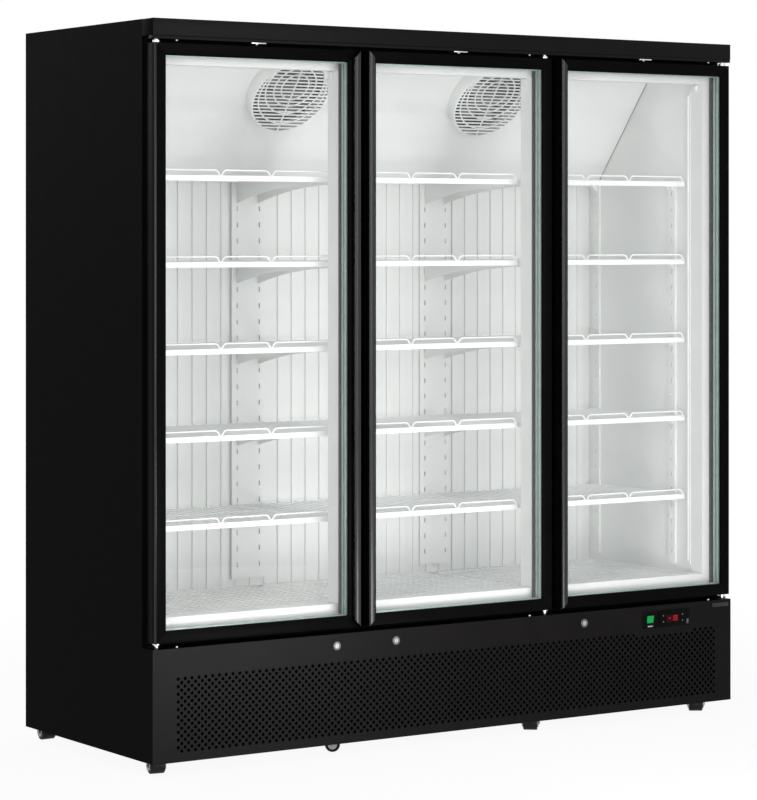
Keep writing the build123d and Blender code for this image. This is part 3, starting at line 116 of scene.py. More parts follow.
@dataclass(frozen=True)
class Finish:
    """One surface finish and the procedural material that gives it.

    Attributes:
        name: Material name.
        slot: Material slot of the record that the finish belongs to; not used.
        colour: Base colour, linear.
        roughness: Middle roughness.
        grain: Fine structure of the surface.
        metallic: Metal share.
        specular: Specular level.
        relief: Strength of the grain's bump.
        mottle: Share by which the colour varies.
        glow: Strength of its own light.
        alpha: Opacity.
    """

    name: str
    slot: str
    colour: Colour
    roughness: float
    grain: Grain
    metallic: float = 0.0
    specular: float = 0.5
    relief: float = 0.04
    mottle: float = 0.12
    glow: float = 0.0
    alpha: float = 1.0

    def material(self) -> bpy.types.Material:
        """Build the material, or find it if it was built before.

        Returns:
            The node material of this finish.
        """
        made = bpy.data.materials.get(self.name)
        if made is not None:
            return made
        made = bpy.data.materials.new(self.name)
        made.use_nodes = True
        tree = made.node_tree
        shader = tree.nodes["Principled BSDF"]
        shader.inputs["Metallic"].default_value = self.metallic
        shader.inputs["Specular IOR Level"].default_value = self.specular
        shader.inputs["Alpha"].default_value = self.alpha
        stretch, scale = self.grain.value
        place = tree.nodes.new("ShaderNodeTexCoord")
        mapping = tree.nodes.new("ShaderNodeMapping")
        mapping.inputs["Scale"].default_value = stretch
        tree.links.new(place.outputs["Object"], mapping.inputs["Vector"])
        fine = self._noise(tree, mapping, scale, FINE_DETAIL)
        broad = self._noise(tree, mapping, scale / BROAD_SHARE, BROAD_DETAIL)
        spangled = self.grain is Grain.SPANGLE
        self._tint(tree, shader, self._spangle(tree, mapping, scale) if spangled else broad)
        self._roughen(tree, shader, broad)
        bump = tree.nodes.new("ShaderNodeBump")
        bump.inputs["Strength"].default_value = self.relief
        bump.inputs["Distance"].default_value = BUMP_DEPTH
        tree.links.new(fine.outputs["Fac"], bump.inputs["Height"])
        tree.links.new(bump.outputs["Normal"], shader.inputs["Normal"])
        if self.glow > 0.0:
            shader.inputs["Emission Color"].default_value = (*self.colour, 1.0)
            shader.inputs["Emission Strength"].default_value = self.glow
        return made

    @staticmethod
    def _noise(
        tree: bpy.types.NodeTree, mapping: bpy.types.Node, scale: float, detail: float
    ) -> bpy.types.Node:
        """Add a noise texture.

        Args:
            tree: Node tree of the material.
            mapping: Node that gives the coordinates.
            scale: Noise scale, per metre.
            detail: Noise detail.

        Returns:
            The noise node.
        """
        noise = tree.nodes.new("ShaderNodeTexNoise")
        noise.inputs["Scale"].default_value = scale
        noise.inputs["Detail"].default_value = detail
        tree.links.new(mapping.outputs["Vector"], noise.inputs["Vector"])
        return noise

    @staticmethod
    def _spangle(tree: bpy.types.NodeTree, mapping: bpy.types.Node, scale: float) -> bpy.types.Node:
        """Add the crystal pattern of hot-dip zinc.

        Args:
            tree: Node tree of the material.
            mapping: Node that gives the coordinates.
            scale: Crystals per metre.

        Returns:
            The node whose colour gives each crystal its shade.
        """
        cells = tree.nodes.new("ShaderNodeTexVoronoi")
        cells.inputs["Scale"].default_value = scale
        tree.links.new(mapping.outputs["Vector"], cells.inputs["Vector"])
        grey = tree.nodes.new("ShaderNodeRGBToBW")
        tree.links.new(cells.outputs["Color"], grey.inputs["Color"])
        return grey

    def _tint(self, tree: bpy.types.NodeTree, shader: bpy.types.Node, pattern: bpy.types.Node) -> None:
        """Vary the base colour about its middle.

        Args:
            tree: Node tree of the material.
            shader: Its shader.
            pattern: Node whose first output runs from dark to light.
        """
        ramp = tree.nodes.new("ShaderNodeValToRGB")
        low, high = ramp.color_ramp.elements[0], ramp.color_ramp.elements[1]
        low.position, high.position = TINT_ENDS
        low.color = (*(value * (1.0 - self.mottle) for value in self.colour), 1.0)
        high.color = (*(min(value * (1.0 + self.mottle), 1.0) for value in self.colour), 1.0)
        tree.links.new(pattern.outputs[0], ramp.inputs["Fac"])
        tree.links.new(ramp.outputs["Color"], shader.inputs["Base Color"])

    def _roughen(self, tree: bpy.types.NodeTree, shader: bpy.types.Node, pattern: bpy.types.Node) -> None:
        """Vary the roughness about its middle.

        Args:
            tree: Node tree of the material.
            shader: Its shader.
            pattern: Noise that drives the change.
        """
        spread = tree.nodes.new("ShaderNodeMapRange")
        spread.inputs["To Min"].default_value = self.roughness * (1.0 - ROUGH_SPREAD)
        spread.inputs["To Max"].default_value = min(self.roughness * (1.0 + ROUGH_SPREAD), 1.0)
        tree.links.new(pattern.outputs["Fac"], spread.inputs["Value"])
        tree.links.new(spread.outputs["Result"], shader.inputs["Roughness"])

    def dress(self, *pieces: Piece) -> None:
        """Give pieces this finish alone.

        Args:
            *pieces: Mesh objects.
        """
        for piece in pieces:
            piece.data.materials.clear()
            piece.data.materials.append(self.material())

    def dress_nodes(self, *names: str) -> None:
        """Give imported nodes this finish.

        Args:
            *names: Node names.
        """
        for name in names:
            self.dress(frame["nodes"][name])
            LOG.info("node %s: %s", name, self.name)


SIDE_BLACK = Finish("side_black", "black_steel", (0.0028, 0.0028, 0.0029), 0.6, Grain.POWDER, specular=0.01)
FRONT_BLACK = Finish(
    "front_satin_black", "satin_black", (0.0036, 0.0031, 0.0029), 0.4, Grain.SATIN, specular=0.07
)
DOOR_BLACK = Finish(
    "door_anodised_black", "door_black", (0.0022, 0.0022, 0.0022), 0.36, Grain.SATIN, specular=0.015
)
GRIP_BLACK = Finish(
    "grip_anodised_black", "door_black", (0.0016, 0.0015, 0.0015), 0.28, Grain.SATIN, specular=0.4
)
WHITE_COAT = Finish(
    "interior_white_coat", "white_steel", (0.80, 0.81, 0.80), 0.42, Grain.ENAMEL, mottle=0.02, relief=0.02
)
WHITE_WIRE = Finish("white_wire_coat", "white_wire", (0.86, 0.87, 0.87), 0.34, Grain.ENAMEL, mottle=0.02)
WHITE_PLASTIC = Finish("white_moulding", "white_wire", (0.83, 0.84, 0.83), 0.4, Grain.MOULDED, mottle=0.03)
ZINC_SHEET = Finish(
    "zinc_sheet", "galvanised", (0.48, 0.49, 0.5), 0.42, Grain.SPANGLE, metallic=0.9, mottle=0.09
)
DARK_ZINC = Finish(
    "dark_zinc", "galvanised", (0.03, 0.03, 0.031), 0.55, Grain.SPANGLE, mottle=0.25, specular=0.2
)
FOAM_YELLOW = Finish("rigid_foam", "foam", (0.78, 0.68, 0.45), 0.9, Grain.FOAM, relief=0.4)
PANE_CLEAR = Finish(
    "pane_clear", "clear_glass", (0.8, 0.86, 0.84), 0.03, Grain.CLEAR, relief=0.0, alpha=0.015
)
SEAL_GREY = Finish("seam_seal", "white_steel", (0.3, 0.3, 0.29), 0.6, Grain.MOULDED)
SPACER_GREY = Finish(
    "spacer_bar_grey", "clear_glass", (0.33, 0.43, 0.40), 0.35, Grain.BRUSHED, metallic=0.4, mottle=0.06
)
GASKET_BLACK = Finish("gasket_rubber", "gasket_grey", (0.02, 0.02, 0.02), 0.6, Grain.MOULDED, specular=0.3)
CHROME = Finish(
    "lock_plug_chrome", "chrome", (0.42, 0.42, 0.425), 0.3, Grain.BRUSHED, metallic=0.2, mottle=0.05
)
LOCK_RING = Finish(
    "lock_ring_chrome", "chrome", (0.09, 0.09, 0.092), 0.3, Grain.BRUSHED, metallic=0.2, mottle=0.05
)
SCREW_ZINC = Finish("screw_zinc", "bright_steel", (0.82, 0.82, 0.82), 0.35, Grain.BRUSHED, metallic=0.4)
BRIGHT_ZINC = Finish("bright_zinc", "bright_steel", (0.68, 0.69, 0.7), 0.28, Grain.BRUSHED, metallic=1.0)
CASTOR_ZINC = Finish(
    "castor_zinc_plate", "castor_zinc", (0.26, 0.265, 0.27), 0.3, Grain.BRUSHED, metallic=1.0
)
OPAL_LAMP = Finish("opal_lamp", "lamp_white", (1.0, 1.0, 1.0), 0.4, Grain.ENAMEL, mottle=0.02, glow=0.15)
CONTROL_BLACK = Finish(
    "control_plate_black", "control_black", (0.0025, 0.0025, 0.0025), 0.4, Grain.MOULDED, specular=0.03
)
DISPLAY_RED = Finish(
    "display_window", "control_black", (0.02, 0.001, 0.002), 0.2, Grain.ENAMEL, specular=0.05, glow=0.5
)
DIGIT_RED = Finish(
    "lit_digit", "switch_green", (0.45, 0.015, 0.025), 0.3, Grain.ENAMEL, specular=0.1, glow=0.4
)
KEY_WHITE = Finish("key_mark", "control_black", (0.3, 0.27, 0.27), 0.5, Grain.ENAMEL, mottle=0.03)
SWITCH_GREEN = Finish(
    "lit_green_rocker", "switch_green", (0.0, 0.22, 0.04), 0.3, Grain.ENAMEL, specular=0.15, glow=0.15
)
# The evaporator fans' pale moulding, dressed dark grey as painted shade for the dim inside of the guards.
EVAPORATOR_FAN_SHADED = Finish("evaporator_fan_painted_shade", "fan_plastic", (0.13, 0.132, 0.13), 0.5, Grain.MOULDED)
# Black ring round each fan's opening on the cover: painted shade for the depth inside the guard's drum.
FAN_SHADE_RING = Finish("fan_ring_painted_shade", "fan_plastic", (0.003, 0.003, 0.003), 0.8, Grain.MOULDED, specular=0.02)
FAN_GREY = Finish("fan_moulding", "fan_plastic", (0.05, 0.05, 0.053), 0.5, Grain.MOULDED)
COATED_FIN = Finish("coated_fin", "fin_aluminium", (0.02, 0.02, 0.022), 0.5, Grain.BRUSHED, specular=0.1)
FIN_ALUMINIUM = Finish(
    "fin_aluminium", "fin_aluminium", (0.62, 0.63, 0.64), 0.35, Grain.BRUSHED, metallic=1.0
)
POT_BLACK = Finish("compressor_black", "black_steel", (0.012, 0.012, 0.012), 0.35, Grain.SATIN)
COPPER = Finish("copper_pipe", "fin_aluminium", (0.7, 0.33, 0.2), 0.3, Grain.BRUSHED, metallic=1.0)
TYRE_GREY = Finish(
    "castor_tread", "castor_wheel", (0.011, 0.0095, 0.0085), 0.45, Grain.MOULDED, specular=0.12
)
HUB_GREY = Finish("castor_hub", "castor_wheel", (0.11, 0.11, 0.11), 0.4, Grain.MOULDED)
# Near-black sheet behind the holes of the lower front: painted shade for the dark room behind them.
GRILLE_PAINTED_SHADE = Finish(
    "grille_painted_shade", "satin_black", (0.0012, 0.0012, 0.0012), 0.95, Grain.FOAM, specular=0.0, relief=0.5
)
TRIM_BLACK = Finish("face_trim_black", "satin_black", (0.003, 0.003, 0.003), 0.7, Grain.SATIN, specular=0.03)
LABEL_GREY = Finish("bare_label", "control_black", (0.06, 0.06, 0.06), 0.5, Grain.MOULDED)
BARE_PLATE = Finish("bare_plate", "control_black", (0.012, 0.012, 0.0125), 0.22, Grain.BRUSHED, metallic=0.3)


class Bench:
    """Hand-modelling steps that every sub-assembly shares."""

    @staticmethod
    def take(*pieces: Piece) -> None:
        """Select only these pieces, the first of them active.

        Args:
            *pieces: Objects to select.
        """
        bpy.ops.object.select_all(action="DESELECT")
        for piece in pieces:
            piece.select_set(True)
        bpy.context.view_layer.objects.active = pieces[0]

    @staticmethod
    def settle(piece: Piece) -> Piece:
        """Move a piece's place, turn and scale into its mesh.

        Args:
            piece: Object to settle.

        Returns:
            The same object.
        """
        Bench.take(piece)
        bpy.ops.object.transform_apply(location=True, rotation=True, scale=True)
        return piece

    @staticmethod
    @contextmanager
    def editing(piece: Piece) -> Iterator[None]:
        """Work on a piece in edit mode, with all of it selected at first.

        Args:
            piece: Object to work on.

        Yields:
            Nothing; the steps in the block act on the piece.
        """
        Bench.take(piece)
        bpy.ops.object.mode_set(mode="EDIT")
        bpy.ops.mesh.select_all(action="SELECT")
        yield
        bpy.ops.object.mode_set(mode="OBJECT")

    @staticmethod
    def apply(piece: Piece) -> Piece:
        """Apply every modifier of a piece.

        Args:
            piece: Object with modifiers.

        Returns:
            The same object.
        """
        Bench.take(piece)
        for modifier in list(piece.modifiers):
            bpy.ops.object.modifier_apply(modifier=modifier.name)
        return piece

    @staticmethod
    def soften(piece: Piece, width: float, segments: int = 2) -> Piece:
        """Round every sharp edge a little.

        Args:
            piece: Object to soften.
            width: Width of the rounding, in metres.
            segments: Faces across the rounding.

        Returns:
            The same object.
        """
        edge = piece.modifiers.new("soft_edge", "BEVEL")
        edge.width = width
        edge.segments = segments
        edge.limit_method = "ANGLE"
        Bench.apply(piece)
        bpy.ops.object.shade_smooth_by_angle(angle=SOFT_ANGLE)
        return piece

    @staticmethod
    def block(low: Point, high: Point, soft: float = 0.0, segments: int = 2) -> Piece:
        """Make a box between two corners.

        Args:
            low: Lowest corner.
            high: Highest corner.
            soft: Width of the rounding of its edges.
            segments: Faces across the rounding.

        Returns:
            The new object.
        """
        low, high = Vector(low), Vector(high)
        bpy.ops.mesh.primitive_cube_add(size=1.0, location=(low + high) / 2, scale=high - low)
        piece = Bench.settle(bpy.context.object)
        return Bench.soften(piece, soft, segments) if soft > 0.0 else piece

    @staticmethod
    def rod(start: Point, end: Point, radius: float, sides: int = 16, soft: float = 0.0) -> Piece:
        """Make a round rod between two points.

        Args:
            start: Middle of one end.
            end: Middle of the other end.
            radius: Radius of the rod.
            sides: Faces around it.
            soft: Width of the rounding of its rims.

        Returns:
            The new object.
        """
        start, end = Vector(start), Vector(end)
        along = end - start
        bpy.ops.mesh.primitive_cylinder_add(
            vertices=sides,
            radius=radius,
            depth=along.length,
            location=(start + end) / 2,
            rotation=along.to_track_quat("Z", "Y").to_euler(),
        )
        piece = Bench.settle(bpy.context.object)
        if soft > 0.0:
            return Bench.soften(piece, soft)
        bpy.ops.object.shade_smooth_by_angle(angle=ROD_ANGLE)
        return piece

    @staticmethod
    def cut(piece: Piece, *planes: tuple[Point, Point]) -> Piece:
        """Cut away what lies in front of each plane, and close the cut.

        Args:
            piece: Object to cut.
            *planes: Point on each plane and its normal.

        Returns:
            The same object.
        """
        for point, normal in planes:
            with Bench.editing(piece):
                bpy.ops.mesh.bisect(plane_co=point, plane_no=normal, use_fill=True, clear_outer=True)
        return piece

    @staticmethod
    def hollow(piece: Piece, *cutters: Piece) -> Piece:
        """Subtract other pieces and delete them.

        Args:
            piece: Object that is cut.
            *cutters: Objects that cut it.

        Returns:
            The cut object.
        """
        for cutter in cutters:
            difference = piece.modifiers.new("hollow", "BOOLEAN")
            difference.operation = "DIFFERENCE"
            difference.solver = "EXACT"
            difference.object = cutter
            Bench.apply(piece)
        for cutter in cutters:
            bpy.data.objects.remove(cutter)
        return piece

    @staticmethod
    def round_edges(piece: Piece, chosen: Iterable[int], radius: float, segments: int = 6) -> Piece:
        """Round chosen edges in edit mode.

        Args:
            piece: Object to shape.
            chosen: Indices of its edges.
            radius: Radius of the rounding.
            segments: Faces across the rounding.

        Returns:
            The same object.
        """
        chosen = set(chosen)
        Bench.take(piece)
        bpy.ops.object.mode_set(mode="EDIT")
        bpy.ops.mesh.select_mode(type="EDGE")
        bpy.ops.mesh.select_all(action="DESELECT")
        bpy.ops.object.mode_set(mode="OBJECT")
        for edge in piece.data.edges:
            edge.select = edge.index in chosen
        bpy.ops.object.mode_set(mode="EDIT")
        bpy.ops.mesh.bevel(offset=radius, segments=segments, affect="EDGES")
        bpy.ops.object.mode_set(mode="OBJECT")
        bpy.ops.object.shade_smooth_by_angle(angle=SOFT_ANGLE)
        return piece

    @staticmethod
    def wire(points: Sequence[Point], radius: float, closed: bool = False, sides: int = 2) -> Piece:
        """Make a round wire along straight runs.

        Args:
            points: Corners of its middle line.
            radius: Radius of the wire.
            closed: True if the last point joins the first.
            sides: Bevel resolution of its round section.

        Returns:
            The new mesh object.
        """
        curve = bpy.data.curves.new("wire", "CURVE")
        curve.dimensions = "3D"
        curve.bevel_depth = radius
        curve.bevel_resolution = sides
        curve.use_fill_caps = True
        run = curve.splines.new("POLY")
        run.points.add(len(points) - 1)
        for place, point in zip(run.points, points):
            place.co = (*point, 1.0)
        run.use_cyclic_u = closed
        piece = bpy.data.objects.new("wire", curve)
        bpy.context.scene.collection.objects.link(piece)
        Bench.take(piece)
        bpy.ops.object.convert(target="MESH")
        piece = bpy.context.object
        bpy.ops.object.shade_smooth_by_angle(angle=WIRE_ANGLE)
        return piece

    @staticmethod
    def row(piece: Piece, step: Point, count: int) -> Piece:
        """Repeat a piece along a line, in one mesh.

        Args:
            piece: Object to repeat.
            step: Distance from one to the next.
            count: Number of copies, the first included.

        Returns:
            The same object.
        """
        array = piece.modifiers.new("row", "ARRAY")
        array.use_relative_offset = False
        array.use_constant_offset = True
        array.constant_offset_displace = step
        array.count = count
        return Bench.apply(piece)

    @staticmethod
    def copy(piece: Piece, place: Matrix) -> Piece:
        """Copy a piece with its own mesh and put the copy in place.

        Args:
            piece: Object to copy.
            place: Where the copy goes, from where the piece is.

        Returns:
            The copy.
        """
        twin = piece.copy()
        twin.data = piece.data.copy()
        bpy.context.scene.collection.objects.link(twin)
        twin.data.transform(place)
        return twin

    @staticmethod
    def spin(profile: Sequence[tuple[float, float]], steps: int = 40) -> Piece:
        """Turn a closed profile about Z.

        Args:
            profile: Radius and height of each corner, in order round the section.
            steps: Faces around the axis.

        Returns:
            The new object.
        """
        bpy.ops.mesh.primitive_circle_add(vertices=len(profile), radius=1.0, fill_type="NOTHING")
        piece = bpy.context.object
        for vertex, (radius, height) in zip(piece.data.vertices, profile):
            vertex.co = (radius, 0.0, height)
        with Bench.editing(piece):
            bpy.ops.mesh.spin(steps=steps, angle=2.0 * math.pi, center=(0, 0, 0), axis=(0, 0, 1))
            bpy.ops.mesh.select_all(action="SELECT")
            bpy.ops.mesh.remove_doubles(threshold=WELD)
            bpy.ops.mesh.normals_make_consistent(inside=False)
        bpy.ops.object.shade_smooth_by_angle(angle=SPIN_ANGLE)
        return piece

    @staticmethod
    def join(name: str, pieces: Sequence[Piece]) -> Piece:
        """Join pieces into one named mesh.

        Args:
            name: Name of the result.
            pieces: Objects to join.

        Returns:
            The joined object.
        """
        Bench.take(*pieces)
        if len(pieces) > 1:
            bpy.ops.object.join()
        piece = bpy.context.view_layer.objects.active
        piece.name = name
        piece.data.name = name
        return piece

    @staticmethod
    def fit(piece: Piece, name: str, finish: Finish, body: str, *nodes: str) -> Piece:
        """Name a finished piece, dress it, and let it ride and stand for nodes.

        Args:
            piece: Finished object.
            name: Its name.
            finish: Its finish.
            body: Body that it moves with.
            *nodes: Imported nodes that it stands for.

        Returns:
            The same object.
        """
        piece.name = name
        piece.data.name = name
        finish.dress(piece)
        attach(piece, body)
        if nodes:
            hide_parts(*nodes)
        LOG.info("piece %s on %s: %d faces", name, body, len(piece.data.polygons))
        return piece

    @staticmethod
    def assemble(name: str, pieces: Sequence[Piece], finish: Finish, body: str, *nodes: str) -> Piece:
        """Join pieces into one and fit it.

        Args:
            name: Name of the result.
            pieces: Objects to join.
            finish: Its finish.
            body: Body that it moves with.
            *nodes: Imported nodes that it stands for.

        Returns:
            The joined object.
        """
        return Bench.fit(Bench.join(name, pieces), name, finish, body, *nodes)


@dataclass(frozen=True)
class Screw:
    """A domed screw head with a cross recess."""

    radius: float = 0.0035
    height: float = 0.002
    root: float = 0.0005
    sides: int = 14
    dome: float = 0.45
    recess_reach: float = 0.55
    recess_floor: float = 0.55
    recess_half: float = 0.0005

    def head(self, place: Point, out: Point) -> Piece:
        """Make the head.

        Args:
            place: Point on the surface under the head.
            out: Direction out of the surface.

        Returns:
            The new object.
        """
        top, half = self.height, self.recess_half
        head = Bench.rod((0, 0, -self.root), (0, 0, top), self.radius, self.sides, soft=top * self.dome)
        slot, floor = self.radius * self.recess_reach, top * self.recess_floor
        for x, y in ((slot, half), (half, slot)):
            Bench.hollow(head, Bench.block((-x, -y, floor), (x, y, 2 * top)))
        turn = Vector(out).to_track_quat("Z", "Y").to_matrix().to_4x4()
        head.data.transform(Matrix.Translation(Vector(place)) @ turn)
        return head


@dataclass
class Shell:
    """Outer skin, header, lower front and their fasteners."""

    header_soft: float = 0.0022
    header_wall: float = 0.0015
    header_cap: float = 0.0006
    lip: float = HEADER_LIP
    lip_depth: float = 0.0012
    lip_thick: float = 0.022
    lip_soft: float = 0.0012
    cap_soft: float = 0.0002
    hole_radius: float = 0.005
    hole_sides: int = 12
    hole_pitch: tuple[float, float] = (0.0209, 0.020)
    hole_columns: int = 88
    hole_rows: int = 10
    first_row: float = 0.039
    sheet: float = 0.0015
    # Gap, margin and rounding of the near-black sheet of painted shade behind the holes.
    shade_room: float = 0.0018
    shade_margin: float = 0.011
    shade_soft: float = 0.0004
    trim: float = 0.0004
    trim_gap: float = 0.002
    lock_hole: float = 0.0096
    lock_hole_sides: int = 24
    plate_size: tuple[float, float] = (0.062, 0.012)
    plate_margin: tuple[float, float] = (0.010, 0.008)
    plate_proud: float = 0.0012
    plate_soft: float = 0.0005
    screw_rows: int = 9
    screw_inset: float = 0.03
    screw: Screw = Screw(height=0.0011)

    def build(self) -> None:
        """Build and dress the shell."""
        SIDE_BLACK.dress_nodes("left_side_panel", "right_side_panel", "top_panel")
        ZINC_SHEET.dress_nodes("back_panel")
        DARK_ZINC.dress_nodes("base_frame")
        SIDE_BLACK.dress_nodes("plinth_frame")
        FOAM_YELLOW.dress_nodes("insulation_foam")
        WHITE_COAT.dress_nodes("inner_liner", "face_frame")
        CONTROL_BLACK.dress_nodes("cable_inlet")
        self.header()
        self.grille()
        self.face_trims()
        self.bare_plate()
        self.rear_screws()

    def header(self) -> None:
        """Build the folded channel over the doors, its lower lip and its end caps."""
        low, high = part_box("header_panel")
        left, right = low.x + self.header_cap, high.x - self.header_cap
        wall = self.header_wall
        piece = Bench.block((left, low.y, low.z), (right, high.y, high.z))
        room = Bench.block(
            (left + wall, low.y + wall, low.z + wall), (right - wall, high.y + CUT_ROOM, high.z - wall)
        )
        Bench.hollow(piece, room)
        Bench.soften(piece, self.header_soft, 3)
        front, foot = low.y + self.lip_depth, low.z - self.lip
        lip = Bench.block((left, front, foot), (right, front + self.lip_thick, low.z), self.lip_soft)
        Bench.assemble("header_channel", [piece, lip], FRONT_BLACK, CABINET, "header_panel")
        fore, top = low.y + self.header_soft, high.z - self.header_soft
        caps = [
            Bench.block((x0, fore, low.z), (x1, high.y, top), self.cap_soft)
            for x0, x1 in ((low.x, left), (right, high.x))
        ]
        Bench.assemble("header_caps", caps, SIDE_BLACK, CABINET)

    def grille(self) -> None:
        """Build the lower front: one sheet with staggered rows of round holes, and a near-black sheet of
        painted shade behind them.
        """
        low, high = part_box("grille_panel")
        pitch_x, pitch_z = self.hole_pitch
        first = Vector((-(self.hole_columns - 1) / 2 * pitch_x, low.y, low.z + self.first_row))
        holes = self._rim(first, self.hole_radius, self.hole_sides)
        Bench.row(holes, (pitch_x, 0, 0), self.hole_columns)
        Bench.row(holes, (0, 0, pitch_z), self.hole_rows)
        Bench.row(holes, (pitch_x / 2, 0, -pitch_z / 2), 2)
        plate_low, plate_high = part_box("control_plate")
        self._drop(holes, (plate_low.x - pitch_x / 2, plate_low.z - pitch_z), plate_high.x + pitch_x / 2)
        rims = [holes, self._outline(low, high)]
        for side in Side:
            plug_low, plug_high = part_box(f"lock_plug_{side.value}")
            x, z = plug_low.x + (plug_high.z - plug_low.z) / 2, (plug_low.z + plug_high.z) / 2
            rims.append(self._rim((x, low.y, z), self.lock_hole, self.lock_hole_sides))
        sheet = Bench.join("grille_sheet", rims)
        with Bench.editing(sheet):
            bpy.ops.mesh.fill(use_beauty=False)
            bpy.ops.mesh.select_all(action="SELECT")
            bpy.ops.mesh.normals_make_consistent(inside=False)
        if sheet.data.polygons[0].normal.y > 0.0:
            sheet.data.flip_normals()
        thickness = sheet.modifiers.new("thickness", "SOLIDIFY")
        thickness.thickness = self.sheet
        thickness.offset = -1.0
        Bench.apply(sheet)
        Bench.fit(sheet, "grille_sheet", FRONT_BLACK, CABINET, "grille_panel")
        # Near-black sheet behind the holes: painted shade that keeps them dark.
        edge = Vector((self.shade_margin, 0.0, self.shade_margin))
        shade_low = Vector((first.x, low.y + self.shade_room, first.z - pitch_z / 2)) - edge
        shade_high = Vector((-first.x, high.y, first.z + (self.hole_rows - 1) * pitch_z)) + edge
        Bench.fit(Bench.block(shade_low, shade_high, self.shade_soft), "grille_painted_shade", GRILLE_PAINTED_SHADE, CABINET)

    @staticmethod
    def _rim(centre: Point, radius: float, sides: int) -> Piece:
        """Make the rim of a round hole in the lower front.

        Args:
            centre: Middle of the hole.
            radius: Radius of the hole.
            sides: Edges around it.

        Returns:
            The rim.
        """
        bpy.ops.mesh.primitive_circle_add(
            vertices=sides, radius=radius, location=centre, rotation=(math.pi / 2, 0, 0)
        )
        return Bench.settle(bpy.context.object)

    @staticmethod
    def _drop(holes: Piece, low: tuple[float, float], right: float) -> None:
        """Delete the holes that the control plate leaves no room for.

        Args:
            holes: Rims of the holes.
            low: X and Z of the lower left corner of the place to clear.
            right: X of its right edge.
        """
        Bench.take(holes)
        bpy.ops.object.mode_set(mode="EDIT")
        bpy.ops.mesh.select_mode(type="VERT")
        bpy.ops.mesh.select_all(action="DESELECT")
        bpy.ops.object.mode_set(mode="OBJECT")
        for vertex in holes.data.vertices:
            vertex.select = low[0] < vertex.co.x < right and vertex.co.z > low[1]
        bpy.ops.object.mode_set(mode="EDIT")
        bpy.ops.mesh.select_linked()
        bpy.ops.mesh.delete(type="VERT")
        bpy.ops.object.mode_set(mode="OBJECT")

    @staticmethod
    def _outline(low: Vector, high: Vector) -> Piece:
        """Make the rectangle of edges round a sheet.

        Args:
            low: Lowest corner of the sheet.
            high: Highest corner of the sheet.

        Returns:
            The rectangle, at the sheet's front.
        """
        bpy.ops.mesh.primitive_plane_add(
            size=1.0,
            location=((low.x + high.x) / 2, low.y, (low.z + high.z) / 2),
            rotation=(math.pi / 2, 0, 0),
        )
        piece = bpy.context.object
        piece.scale = (high.x - low.x, high.z - low.z, 1.0)
        with Bench.editing(Bench.settle(piece)):
            bpy.ops.mesh.delete(type="ONLY_FACE")
        return piece

    def face_trims(self) -> None:
        """Build the black strips on the cabinet face, outside the door seals."""
        face_low, face_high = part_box("face_frame")
        bottom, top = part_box("plinth_frame")[1].z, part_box("header_panel")[0].z
        seals = [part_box(f"door_gasket_{side.value}") for side in Side]
        seal_bottom, seal_top = seals[0][0].z - self.trim_gap, seals[0][1].z + self.trim_gap
        spans = [
            (face_low.x, seal_top, face_high.x, top),
            (face_low.x, bottom, face_high.x, seal_bottom),
            (face_low.x, seal_bottom, seals[0][0].x - self.trim_gap, seal_top),
            (seals[-1][1].x + self.trim_gap, seal_bottom, face_high.x, seal_top),
        ]
        for before, after in zip(seals, seals[1:]):
            spans.append((before[1].x + self.trim_gap, seal_bottom, after[0].x - self.trim_gap, seal_top))
        strips = [
            Bench.block((x0, face_low.y - self.trim, z0), (x1, face_low.y, z1)) for x0, z0, x1, z1 in spans
        ]
        Bench.assemble("face_trims", strips, TRIM_BLACK, CABINET)

    def bare_plate(self) -> None:
        """Build the bare plate at the right end of the lower front."""
        low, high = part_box("grille_panel")
        width, height = self.plate_size
        right, top = high.x - self.plate_margin[0], high.z - self.plate_margin[1]
        corner = (right - width, low.y - self.plate_proud, top - height)
        piece = Bench.block(corner, (right, low.y, top), self.plate_soft)
        Bench.fit(piece, "bare_plate", BARE_PLATE, CABINET)

    def rear_screws(self) -> None:
        """Build the screws round the back panel."""
        low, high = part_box("back_panel")
        head = self.screw.head((0, 0, 0), (0, 1, 0))
        inset, heads = self.screw_inset, []
        for row in range(self.screw_rows):
            z = low.z + inset + row * (high.z - low.z - 2 * inset) / (self.screw_rows - 1)
            for x in (low.x + inset, 0.0, high.x - inset):
                heads.append(Bench.copy(head, Matrix.Translation((x, high.y, z))))
        bpy.data.objects.remove(head)
        Bench.assemble("rear_screws", heads, BRIGHT_ZINC, CABINET)


